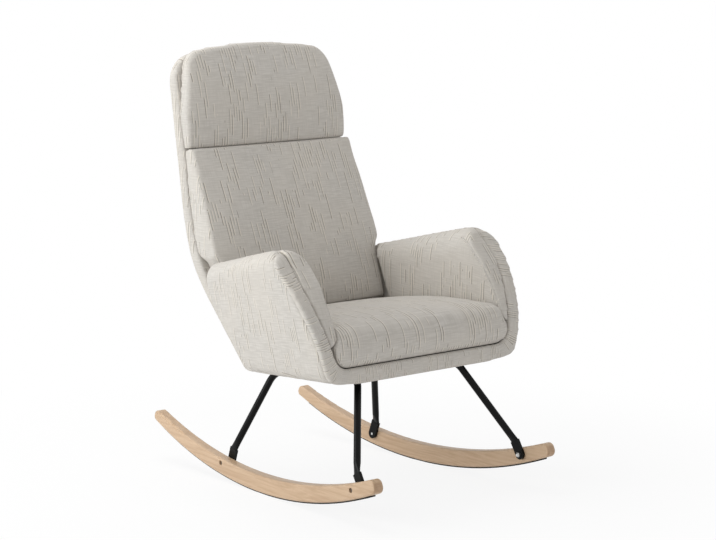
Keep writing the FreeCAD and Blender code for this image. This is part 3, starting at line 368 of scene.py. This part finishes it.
def make_wood(name, grain, pale, dark, depth, rough, **shader):
    """Wood with its grain along Y and darker ends; rough is the roughness at low and at high grain."""
    material, tree, principled = new_material(name, **shader)
    place = add(tree, "ShaderNodeTexCoord").outputs["Object"]
    scaled = stretch(tree, place, (grain_scale, grain_scale, grain_scale))
    wood = place_group(tree, grain, {"Place": scaled, "Pale": (*pale, 1), "Dark": (*dark, 1)}).outputs
    facing = add(tree, "ShaderNodeNewGeometry").outputs["Normal"]
    along = calc(tree, "ABSOLUTE", add(tree, "ShaderNodeSeparateXYZ", {0: facing}).outputs["Y"])
    end_grain = step(tree, along, *end_grain_facing, 0.0, end_grain_share)
    coloured = blend_colour(tree, end_grain, wood["Colour"], (*dark, 1), "MULTIPLY")
    tree.links.new(coloured, principled.inputs["Base Color"])
    tree.links.new(step(tree, wood["Height"], 0.1, 0.6, *rough), principled.inputs["Roughness"])
    bump(tree, principled, wood["Height"], depth, 0.5)
    return material


grain_group = make_grain_group()
beech = make_wood("lacquered_beech", grain_group, pale=(0.575, 0.408, 0.264), dark=(0.450, 0.296, 0.176),
                  depth=0.0002, rough=(0.40, 0.50), Coat_Weight=0.10, Coat_Roughness=0.3)
frame_wood = make_wood("sawn_frame_wood", grain_group, pale=(0.55, 0.40, 0.25), dark=(0.36, 0.23, 0.12),
                       depth=0.0008, rough=(0.75, 0.9))
plywood = make_wood("plywood", grain_group, pale=(0.60, 0.45, 0.29), dark=(0.42, 0.28, 0.15),
                    depth=0.0005, rough=(0.7, 0.85))
print("woods", [wood.name for wood in (beech, frame_wood, plywood)])

# %% [markdown]
# The legs are black powder-coated steel, the bolts and nuts are bright zinc, the running strips are
# rubber, and the cushions are cut foam inside. They share one speckle group: a fine noise that moves the
# roughness a little and lifts the surface, as a coat of powder, a plated face or moulded rubber shows.
# Linings and webbing are plain woven cloth, drawn with two crossed waves.

# %% Metals, rubber, webbing and linings
def make_speckle_group():
    tree, given, out = new_group("speckle", [("Scale", "Float"), ("Base", "Color"), ("Worn", "Color")],
                                 [("Colour", "Color"), ("Fac", "Float")])
    place = add(tree, "ShaderNodeTexCoord").outputs["Object"]
    fine = noise(tree, place, given["Scale"], 3.0)
    slow = noise(tree, place, 14.0, 2.0)
    both = calc(tree, "ADD", calc(tree, "MULTIPLY", fine, 0.6), calc(tree, "MULTIPLY", slow, 0.4))
    coloured = blend_colour(tree, step(tree, both, 0.4, 0.62), given["Base"], given["Worn"])
    tree.links.new(coloured, out["Colour"])
    tree.links.new(both, out["Fac"])
    return tree


def make_speckled(name, group, scale, base, worn, rough, depth, **shader):
    material, tree, principled = new_material(name, **shader)
    made = place_group(tree, group, {"Scale": scale, "Base": (*base, 1), "Worn": (*worn, 1)}).outputs
    tree.links.new(made["Colour"], principled.inputs["Base Color"])
    tree.links.new(step(tree, made["Fac"], 0.35, 0.65, *rough), principled.inputs["Roughness"])
    bump(tree, principled, made["Fac"], depth, 0.5)
    return material


def make_woven(name, base, raised, pitch, way, **shader):
    """A plain woven cloth; way turns the ribs, in radians about Z."""
    material, tree, principled = new_material(name, **shader)
    place = add(tree, "ShaderNodeTexCoord").outputs["Object"]
    turned = add(tree, "ShaderNodeMapping", {"Vector": place, "Rotation": (0, 0, way)}).outputs[0]
    apart = add(tree, "ShaderNodeSeparateXYZ", {0: turned}).outputs
    ribs = calc(tree, "SINE", calc(tree, "MULTIPLY", apart["X"], 2 * math.pi / pitch))
    picks = calc(tree, "SINE", calc(tree, "MULTIPLY", apart["Y"], 2 * math.pi / pitch))
    weave = calc(tree, "MULTIPLY", ribs, picks)
    fuzz = noise(tree, place, 90.0, 3.0)
    height = calc(tree, "ADD", calc(tree, "MULTIPLY", weave, 0.4), fuzz)
    colour = blend_colour(tree, step(tree, height, 0.1, 0.9), (*base, 1), (*raised, 1))
    tree.links.new(colour, principled.inputs["Base Color"])
    bump(tree, principled, height, 0.0006, 0.6)
    return material


speckle_group = make_speckle_group()
black_steel = make_speckled("black_powder_coat", speckle_group, scale=420.0, base=(0.003, 0.003, 0.003),
                            worn=(0.006, 0.006, 0.006), rough=(0.28, 0.36), depth=0.0002,
                            Specular_IOR_Level=0.12)
zinc = make_speckled("bright_zinc", speckle_group, scale=160.0, base=(0.62, 0.62, 0.61),
                     worn=(0.48, 0.48, 0.47), rough=(0.22, 0.40), depth=0.0002, Metallic=1.0)
rubber = make_speckled("black_rubber", speckle_group, scale=260.0, base=(0.020, 0.018, 0.016),
                       worn=(0.034, 0.031, 0.028), rough=(0.62, 0.80), depth=0.0005, Specular_IOR_Level=0.2)
foam = make_speckled("cut_foam", speckle_group, scale=700.0, base=(0.72, 0.64, 0.46),
                     worn=(0.62, 0.54, 0.37), rough=(0.85, 0.95), depth=0.0010, Specular_IOR_Level=0.2)
webbing = make_woven("elastic_webbing", base=(0.020, 0.020, 0.022), raised=(0.060, 0.060, 0.062),
                     pitch=0.0030, way=0.0, Roughness=0.85)
lining = make_woven("black_lining", base=(0.012, 0.012, 0.012), raised=(0.035, 0.035, 0.036),
                    pitch=0.0014, way=math.pi / 4, Roughness=0.9)
fibre_bag = make_woven("white_lining", base=(0.62, 0.61, 0.58), raised=(0.74, 0.73, 0.70),
                       pitch=0.0012, way=math.pi / 4, Roughness=0.9)
print("materials", len(bpy.data.materials))

# %% [markdown]
# Rigid pieces keep the shape of their solids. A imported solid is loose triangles, so each rigid piece is a
# copy whose corners are merged, whose gentle edges shade smooth and whose sharp edges stay crisp. Leaving
# the solids themselves in view would show flat facets on every tube.

# %% Copies of the rigid solids
crisp_angle = math.radians(32)


def copy_of(*nodes):
    """One merged bmesh copy of some solids."""
    bm = bmesh.new()
    for node in nodes:
        bm.from_mesh(frame["nodes"][node].data)
    bmesh.ops.remove_doubles(bm, verts=bm.verts, dist=1e-5)
    return bm


def make_piece(bm, name, material, body="chair"):
    """A finished bmesh as an object that rides on a body."""
    mesh = bpy.data.meshes.new(name)
    bm.to_mesh(mesh)
    bm.free()
    piece = bpy.data.objects.new(name, mesh)
    scene.collection.objects.link(piece)
    mesh.materials.append(material)
    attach(piece, body)
    return piece


def smooth_copy(node, material):
    bm = copy_of(node)
    for face in bm.faces:
        face.smooth = True
    for edge in bm.edges:
        edge.smooth = edge.calc_face_angle(0.0) < crisp_angle
    piece = make_piece(bm, node + "_finish", material)
    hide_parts(node)
    return piece


side_signs = {"left": 1, "right": -1}
rigid = {fixing: (zinc, "zinc_steel") for fixing in ("rocker_bolts", "rocker_nuts", "plate_bolts")}
rigid["leg_plates"] = (black_steel, "black_steel")
for side in side_signs:
    rigid["rocker_" + side] = (beech, "beech")
    rigid["rocker_strip_" + side] = (rubber, "rubber")
    rigid["leg_frame_" + side] = (black_steel, "black_steel")
for node, (material, slot) in rigid.items():
    smooth_copy(node, material)

inside = {"frame_wood": frame_wood, "plywood": plywood, "webbing": webbing, "lining": lining,
          "zinc_steel": zinc, "foam": foam, "fill_bag": fibre_bag}
for part in frame["record"]["subparts"]:
    if part["node"] not in rigid and part["material_slot"] in inside:
        solid = frame["nodes"][part["node"]]
        solid.data.materials.clear()
        solid.data.materials.append(inside[part["material_slot"]])
print("rigid pieces", len(rigid))

# %% [markdown]
# A padded piece starts from the outer skin of its solid. The skin is remeshed into even quads a few
# millimetres across, drawn in a little, and then blown up like a cushion: a Cloth modifier with air
# pressure and no gravity runs for twenty frames. Seams are pinned, so they stay drawn in while the cloth
# between them swells. No point may move further than a set cap, so that a cushion keeps its size, and the
# result is written back into the mesh.

# %% Skins and the cushion simulation
quad_size = 0.006
fine_quad_size = 0.005
sim_frames = 20
air_pressure = 4.0
side_rim = (0.45, 0.88)
end_rim = (0.62, 0.90)


def outer_skin(node):
    """The largest closed shell of a solid, without its inner walls."""
    bm = copy_of(node)
    shells = []
    waiting = set(bm.verts)
    while waiting:
        shell = set()
        edge_of_shell = [waiting.pop()]
        while edge_of_shell:
            vert = edge_of_shell.pop()
            shell.add(vert)
            for edge in vert.link_edges:
                other = edge.other_vert(vert)
                if other in waiting:
                    waiting.discard(other)
                    edge_of_shell.append(other)
        shells.append(shell)
    widest = max(shells, key=lambda shell: max(v.co.z for v in shell) - min(v.co.z for v in shell))
    inner = [vert for vert in bm.verts if vert not in widest]
    bmesh.ops.delete(bm, geom=inner, context="VERTS")
    return bm


def positions(mesh):
    flat = np.empty(len(mesh.vertices) * 3)
    mesh.vertices.foreach_get("co", flat)
    return flat.reshape(-1, 3)


def directions(mesh):
    flat = np.empty(len(mesh.vertices) * 3)
    mesh.vertex_normals.foreach_get("vector", flat)
    return flat.reshape(-1, 3)


def move_to(mesh, places):
    mesh.vertices.foreach_set("co", np.ascontiguousarray(places).ravel())
    mesh.update()


def remeshed(bm, name, quad, body):
    """An object of even quads over a closed skin."""
    piece = make_piece(bm, name, upholstery, body)
    remesh = piece.modifiers.new("quads", "REMESH")
    remesh.mode = "VOXEL"
    remesh.voxel_size = quad
    shape = piece.evaluated_get(bpy.context.evaluated_depsgraph_get())
    even = bpy.data.meshes.new_from_object(shape)
    piece.modifiers.clear()
    old = piece.data
    piece.data = even
    even.name = name
    bpy.data.meshes.remove(old)
    return piece


def smooth_out(piece, rounds, swell, held=None):
    """Round a mesh off by evening it out, then swell it.

    held is a share for each vertex, from 0 for a free one to 1 for one that stays in place."""
    bm = bmesh.new()
    bm.from_mesh(piece.data)
    before = positions(piece.data)
    for _ in range(rounds):
        bmesh.ops.smooth_vert(bm, verts=bm.verts, factor=0.5,
                              use_axis_x=True, use_axis_y=True, use_axis_z=True)
    bm.to_mesh(piece.data)
    bm.free()
    after = positions(piece.data) + directions(piece.data) * swell
    if held is not None:
        after += (before - after) * held[:, None]
    move_to(piece.data, after)


def share_above(values, low, high):
    """0 below low, 1 above high, and a straight rise between."""
    return np.clip((values - low) / (high - low), 0.0, 1.0)


def puff(piece, pinned, cap, draw_in):
    """Swell a piece by cloth simulation. pinned is a share for each vertex, cap and draw_in are metres."""
    mesh = piece.data
    small = positions(mesh) - directions(mesh) * (draw_in * (1.0 - pinned))[:, None]
    move_to(mesh, small)
    pins = piece.vertex_groups.new(name="pins")
    for index in np.nonzero(pinned > 0.02)[0]:
        pins.add([int(index)], float(pinned[index]), "REPLACE")
    cloth = piece.modifiers.new("swell", "CLOTH")
    cloth.settings.quality = 4
    cloth.settings.mass = 0.3
    cloth.settings.tension_stiffness = 12.0
    cloth.settings.compression_stiffness = 12.0
    cloth.settings.shear_stiffness = 6.0
    cloth.settings.bending_stiffness = 0.6
    cloth.settings.use_pressure = True
    cloth.settings.uniform_pressure_force = air_pressure
    cloth.settings.vertex_group_mass = "pins"
    cloth.settings.effector_weights.gravity = 0.0
    cloth.collision_settings.use_collision = False
    cloth.point_cache.frame_end = sim_frames
    for number in range(1, sim_frames + 1):
        scene.frame_set(number)
    swollen = piece.evaluated_get(bpy.context.evaluated_depsgraph_get())
    end = positions(swollen.data)
    piece.modifiers.clear()
    piece.vertex_groups.clear()
    scene.frame_set(1)
    moved = end - small
    far = np.linalg.norm(moved, axis=1)
    shorter = np.minimum(1.0, cap / np.maximum(far, 1e-9))
    move_to(mesh, small + moved * shorter[:, None])
    print(piece.name, "swelled by up to", round(1000 * float(far.max()), 1), "mm")


def rim(piece, axis, low, high):
    """1 on the rounded edges of a piece, where its normal has a middling part along an axis, 0 elsewhere."""
    part = np.abs(directions(piece.data)[:, axis])
    return share_above(part, low - 0.1, low) * share_above(-part, -high - 0.08, -high)


def finish_soft(piece, nodes, panels, shift):
    """Subdivide, lay the cloth's UVs where panels are given, and hide the solids that the piece covers."""
    rounder = piece.modifiers.new("rounder", "SUBSURF")
    rounder.levels = 1
    rounder.render_levels = 1
    for face in piece.data.polygons:
        face.use_smooth = True
    if panels:
        lay_cloth(piece, panels, shift)
    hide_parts(*nodes)


# %% [markdown]
# Upholstery is cut in panels, and the pattern of each panel runs its own way. So the UV map is laid in
# metres, face by face: a face belongs to the panel whose direction it faces most, and that panel gives
# the two directions along which the cloth is measured. Where cloth rolls over an edge, the second
# direction leans with the roll, so that the threads run on over it without a break.

# %% Laying the cloth
def lay_cloth(piece, panels, shift):
    """panels lists (facing, across, along); shift moves the pattern so that pieces differ."""
    mesh = piece.data
    layer = mesh.uv_layers.new(name="cloth")
    facing = np.array([Vector(panel[0]).normalized() for panel in panels])
    across = np.array([panel[1] for panel in panels], float)
    along = np.array([panel[2] for panel in panels], float)
    normals = np.empty(len(mesh.polygons) * 3)
    mesh.polygons.foreach_get("normal", normals)
    totals = np.empty(len(mesh.polygons), int)
    mesh.polygons.foreach_get("loop_total", totals)
    chosen = np.repeat(np.argmax(normals.reshape(-1, 3) @ facing.T, axis=1), totals)
    corners = np.empty(len(mesh.loops), int)
    mesh.loops.foreach_get("vertex_index", corners)
    places = positions(mesh)[corners]
    uv = np.stack([(places * across[chosen]).sum(1), (places * along[chosen]).sum(1)], axis=1) + shift
    layer.data.foreach_set("uv", uv.ravel())


left, back, up = (1, 0, 0), (0, 1, 0), (0, 0, 1)
right, front, down = (-1, 0, 0), (0, -1, 0), (0, 0, -1)
front_panel = (front, left, up)
rear_panel = (back, left, up)
top_panel = (up, left, back)
under_panel = (down, left, back)
left_panel = (left, back, up)
right_panel = (right, back, up)
box_panels = [front_panel, rear_panel, top_panel, under_panel, left_panel, right_panel]

# %% [markdown]
# The seat cushion is a thick loose block with a waterfall front: the top panel runs on over a wide roll
# and down the front. Its underside rests flat on the deck and slides over the border when the cushion is
# pulled out, so it stays on its solid, and the rest swells. The foam inside can't be seen once the cover
# is closed, so the cover stands for both.

# %% Seat cushion
underside_facing = (0.4, 0.8)
resting_facing = (0.75, 0.95)


def make_seat_cushion():
    piece = remeshed(outer_skin("seat_cushion_cover"), "seat_cushion", quad_size, "seat_cushion")
    underside = share_above(-directions(piece.data)[:, 2], *underside_facing)
    smooth_out(piece, rounds=8, swell=0.0015, held=underside)
    resting = share_above(-directions(piece.data)[:, 2], *resting_facing)
    pinned = np.maximum(resting, rim(piece, 0, *side_rim))
    puff(piece, pinned, cap=0.007, draw_in=0.002)
    roll_panel = ((0, -1, 1), left, (0, 1, -1))
    finish_soft(piece, ["seat_cushion_cover", "seat_cushion_foam"],
                [roll_panel, rear_panel, under_panel, left_panel, right_panel], shift=0.0)


make_seat_cushion()

# %% [markdown]
# The back cushion and the head cushion are fibre-filled, softer and rounder than the seat. Their rear
# faces lie against the shell and are pinned. Their front panels are crowned: they lie a little further
# back towards the sides. The two cushions meet in a crease, and the seams there gather the cloth into
# small folds. They are waves along the width, strongest at the edge.

# %% Back and head cushions
gather_height = 0.045
gather_depth = 0.0016
gather_waves = ((0.021, 0.3), (0.034, 1.9), (0.013, 4.1))    # length and phase
crease_close = 0.0025
crease_lift = 0.005
crease_band = (0.030, 0.012)      # distances from the crease where cloth is free and where it is held
foot_band = (0.06, 0.02)          # the same for the foot of the back cushion
rear_facing = (0.2, 0.5)
layer_height = 0.03
crown_start = 0.4                 # share of the half width where the crown begins


def facing_back(piece):
    return share_above(directions(piece.data)[:, 1], *rear_facing)


def near_edge(distances, band):
    """1 at an edge, 0 away from it; band gives the free and the held distance."""
    return share_above(-distances, -band[0], -band[1])


def held_seams(piece):
    """The rear face and the edges all round the front panel."""
    edges = np.maximum(rim(piece, 0, *side_rim), rim(piece, 2, *end_rim))
    return np.maximum(facing_back(piece), edges)


def crown_sides(piece, depth):
    """Draw the front panel back towards its two sides, and the side strips with it."""
    places = positions(piece.data)
    height = places[:, 2] - places[:, 2].min()
    layer = (height / layer_height).astype(int)
    rear = np.full(layer.max() + 1, -np.inf)
    face = np.full(layer.max() + 1, np.inf)
    np.maximum.at(rear, layer, places[:, 1])
    np.minimum.at(face, layer, places[:, 1])
    middles = (np.arange(len(rear)) + 0.5) * layer_height
    rear_here = np.interp(height, middles, rear)
    face_here = np.interp(height, middles, face)
    forward = np.clip((rear_here - places[:, 1]) / (rear_here - face_here), 0.0, 1.0)
    aside = np.abs(places[:, 0])
    side_share = share_above(aside, crown_start * aside.max(), aside.max())
    places[:, 1] += depth * forward * side_share ** 2
    move_to(piece.data, places)


def gather_edge(piece, level, rise):
    """Small upright folds next to an edge, which is lifted and drawn to its neighbour across the crease.

    rise is +1 for a lower edge and -1 for an upper one."""
    places = positions(piece.data)
    normals = directions(piece.data)
    away = np.clip((places[:, 2] - level) * rise / gather_height, 0.0, 1.0)
    wave = sum(np.sin(2 * math.pi * places[:, 0] / length + phase) for length, phase in gather_waves)
    front_share = np.clip(-normals[:, 1], 0.0, 1.0)
    lift = gather_depth * wave / len(gather_waves) * (1.0 - away) ** 2 * front_share
    places[:, 2] += (crease_lift - rise * crease_close) * (1.0 - away) ** 2
    move_to(piece.data, places + normals * lift[:, None])


def make_back_cushion():
    piece = remeshed(outer_skin("back_cushion_cover"), "back_cushion", quad_size, "chair")
    heights = positions(piece.data)[:, 2]
    foot = near_edge(heights - heights.min(), foot_band)
    crease = 0.65 * near_edge(heights.max() - heights, crease_band)
    held = np.maximum(np.maximum(foot, crease), facing_back(piece))
    smooth_out(piece, rounds=16, swell=0.002, held=held)
    puff(piece, held_seams(piece), cap=0.009, draw_in=0.002)
    crown_sides(piece, depth=0.012)
    gather_edge(piece, level=positions(piece.data)[:, 2].max(), rise=-1)
    finish_soft(piece, ["back_cushion_cover", "back_cushion_fill_bag"], box_panels, shift=0.31)


def make_head_cushion():
    piece = remeshed(outer_skin("head_cushion_cover"), "head_cushion", quad_size, "chair")
    heights = positions(piece.data)[:, 2]
    crease = 0.5 * near_edge(heights - heights.min(), crease_band)
    smooth_out(piece, rounds=16, swell=0.002, held=np.maximum(crease, facing_back(piece)))
    puff(piece, held_seams(piece), cap=0.009, draw_in=0.002)
    crown_sides(piece, depth=0.008)
    gather_edge(piece, level=positions(piece.data)[:, 2].min(), rise=1)
    finish_soft(piece, ["head_cushion_cover", "head_cushion_fill_bag"], box_panels, shift=0.67)


make_back_cushion()
make_head_cushion()

# %% [markdown]
# Each arm is lined with a pad that rolls over the arm's top. Its outer face lies against the shell and is
# pinned, and its top is lifted into a shallow arch, as the shell's is further down. A raised seam runs
# down its inner face just behind the front edge. It could be a groove pressed into the pad, but the seam
# stands proud, so it is a thin welt: a curve laid on the finished pad by casting rays at it from between
# the arms, thickened with a round bevel and turned into a mesh.

# %% Arm pads
seat_corner = Vector((0.0, -0.2898, 0.2916))
seat_tilt = math.radians(4.93)
arm_front = ((0.000, 0.070), (0.008, 0.108), (0.029, 0.160), (0.058, 0.212), (0.095, 0.258), (0.150, 0.287))
welt_setback = 0.004
welt_radius = 0.0024
welt_low = 0.098
welt_high = 0.274
welt_points = 26
arm_arch = 0.007
arm_span = (-0.34, 0.13)
arm_arch_from = (0.42, 0.56)
pad_outer_facing = (0.5, 0.8)


def in_seat(depth, height):
    """A point of the seat's middle plane, by its depth behind the front and its height over the seat."""
    along = Vector((0.0, math.cos(seat_tilt), -math.sin(seat_tilt)))
    above = Vector((0.0, math.sin(seat_tilt), math.cos(seat_tilt)))
    return seat_corner + along * depth + above * height


def welt_line(piece, sign):
    """Points on a pad's inner face, a little behind the arm's front curve."""
    depths, heights = zip(*arm_front)
    line = []
    for height in np.linspace(welt_low, welt_high, welt_points):
        depth = float(np.interp(height, heights, depths)) + welt_setback
        hit, place, _, _ = piece.ray_cast(in_seat(depth, height), Vector((sign, 0.0, 0.0)))
        if hit:
            line.append(place)
    return line


def make_welt(name, line, shift):
    """A sewn welt along a line of points."""
    data = bpy.data.curves.new(name, "CURVE")
    data.dimensions = "3D"
    data.bevel_depth = welt_radius
    data.bevel_resolution = 3
    data.use_fill_caps = True
    spline = data.splines.new("NURBS")
    spline.points.add(len(line) - 1)
    for point, place in zip(spline.points, line):
        point.co = (*place, 1.0)
    spline.order_u = 3
    spline.use_endpoint_u = True
    drawn = bpy.data.objects.new(name + "_line", data)
    scene.collection.objects.link(drawn)
    mesh = bpy.data.meshes.new_from_object(drawn.evaluated_get(bpy.context.evaluated_depsgraph_get()))
    bpy.data.objects.remove(drawn)
    bm = bmesh.new()
    bm.from_mesh(mesh)
    bpy.data.meshes.remove(mesh)
    bmesh.ops.remove_doubles(bm, verts=bm.verts, dist=1e-6)
    bmesh.ops.recalc_face_normals(bm, faces=bm.faces)
    for face in bm.faces:
        face.smooth = True
    piece = make_piece(bm, name, upholstery)
    lay_cloth(piece, box_panels, shift)


def arch_arm(piece):
    """Lift the top of an arm along its middle, so that its crest is a shallow arch."""
    places = positions(piece.data)
    share = np.clip((places[:, 1] - arm_span[0]) / (arm_span[1] - arm_span[0]), 0.0, 1.0)
    places[:, 2] += arm_arch * np.sin(math.pi * share) * share_above(places[:, 2], *arm_arch_from)
    move_to(piece.data, places)


def make_arm_pad(side, sign):
    node = "arm_pad_cover_" + side
    piece = remeshed(outer_skin(node), "arm_pad_" + side, fine_quad_size, "chair")
    smooth_out(piece, rounds=3, swell=0.002)
    outside = share_above(directions(piece.data)[:, 0] * sign, *pad_outer_facing)
    puff(piece, np.maximum(outside, rim(piece, 1, *side_rim)), cap=0.003, draw_in=0.001)
    arch_arm(piece)
    make_welt("arm_pad_welt_" + side, welt_line(piece, sign), shift=0.4)
    inner_panel = ((-sign, 0, 0.6), back, (sign, 0, 1))
    finish_soft(piece, [node, "arm_pad_foam_" + side],
                [inner_panel, front_panel, rear_panel, under_panel], shift=1.1)


for side, sign in side_signs.items():
    make_arm_pad(side, sign)

# %% [markdown]
# The shell is cloth pulled tight over a board and thin wadding: outer arms, a border round the front
# opening and a padded outer back. Tight cloth doesn't billow, so these pieces are remeshed and evened
# out, which rounds their edges, without a simulation. Faces that lie against another piece are held on
# their solids.

# %% Outer arms and outer back
held_facing = (0.6, 0.8)


def make_taut(nodes, name, quad, rounds, swell, held_way):
    """One remeshed skin over several solids, its edges rounded off, except where it faces held_way.

    held_way is one way for all vertices, or a function of their places that gives a way for each."""
    piece = remeshed(copy_of(*nodes), name, quad, "chair")
    ways = held_way(positions(piece.data)) if callable(held_way) else np.array(held_way)
    held = share_above((directions(piece.data) * ways).sum(axis=1), *held_facing)
    smooth_out(piece, rounds, swell, held)
    return piece


for side, sign in side_signs.items():
    outer_panel = ((sign, 0, 0.3), back, (-1.15 * sign, 0, 1.15))
    node = "arm_panel_" + side
    arm = make_taut([node], node + "_cloth", fine_quad_size, rounds=5, swell=0.002,
                    held_way=(-0.35 * sign, 0.5, -0.8))
    arch_arm(arm)
    finish_soft(arm, [node], [outer_panel, front_panel, rear_panel, under_panel], shift=1.7)
outer_back = make_taut(["back_panel"], "back_panel_cloth", quad_size, rounds=6, swell=0.002, held_way=front)
finish_soft(outer_back, ["back_panel"], box_panels, shift=3.3)
print("taut pieces", arm.name, outer_back.name)

# %% [markdown]
# The border is one strip that runs down an arm, round the corner, along under the cushion and up the
# other arm. Its threads run across it all the way, so its UV map is measured along the strip and out from
# its middle line, with the pattern a little finer than elsewhere. Its faces towards the cushion stay on
# the solids, so that the cushion slides past them.

# %% Front border
border_line = ((0.000, 0.3085), (0.215, 0.3085), (0.240, 0.3125), (0.258, 0.3255), (0.2705, 0.3513),
               (0.281, 0.3985), (0.291, 0.4485), (0.3005, 0.4978), (0.3085, 0.5405), (0.316, 0.580))
border_nodes = ["arm_border_left", "arm_border_right", "seat_border"]
border_quad_size = 0.004
border_scale = 1.5
border_shift = 2.3
slide_free = 0.50                 # height above which the border is free
slide_held = 0.44                 # height below which its inner faces are held


def lay_along(piece, line, shift):
    """UVs along a line of (x, z) points that is mirrored in x, and away from it."""
    mesh = piece.data
    layer = mesh.uv_layers.new(name="cloth")
    corners = np.empty(len(mesh.loops), int)
    mesh.loops.foreach_get("vertex_index", corners)
    places = positions(mesh)
    flat = np.stack([np.abs(places[:, 0]), places[:, 2]], axis=1)
    nearest = np.full(len(flat), np.inf)
    along = np.zeros(len(flat))
    away = np.zeros(len(flat))
    passed = 0.0
    for start, end in zip(np.array(line[:-1]), np.array(line[1:])):
        length = np.linalg.norm(end - start)
        way = (end - start) / length
        onto = np.clip((flat - start) @ way, 0.0, length)
        off = flat - start - onto[:, None] * way
        gap = np.linalg.norm(off, axis=1)
        closer = gap < nearest
        nearest[closer] = gap[closer]
        along[closer] = passed + onto[closer]
        away[closer] = (off[:, 1] * way[0] - off[:, 0] * way[1])[closer]
        passed += length
    uv = np.stack([np.sign(places[:, 0]) * along, away], axis=1)[corners] * border_scale + shift
    layer.data.foreach_set("uv", uv.ravel())


def towards_cushion(places):
    """Up and inward below the arms' crests, where the seat cushion slides past, and nowhere above."""
    below = share_above(-places[:, 2], -slide_free, -slide_held)
    return np.stack([-np.sign(places[:, 0]) * below, np.zeros(len(places)), below], axis=1)


border = make_taut(border_nodes, "front_border", border_quad_size, rounds=7, swell=0.0025,
                   held_way=towards_cushion)
finish_soft(border, border_nodes, None, shift=border_shift)
lay_along(border, border_line, border_shift)
print("border faces", len(border.data.polygons))
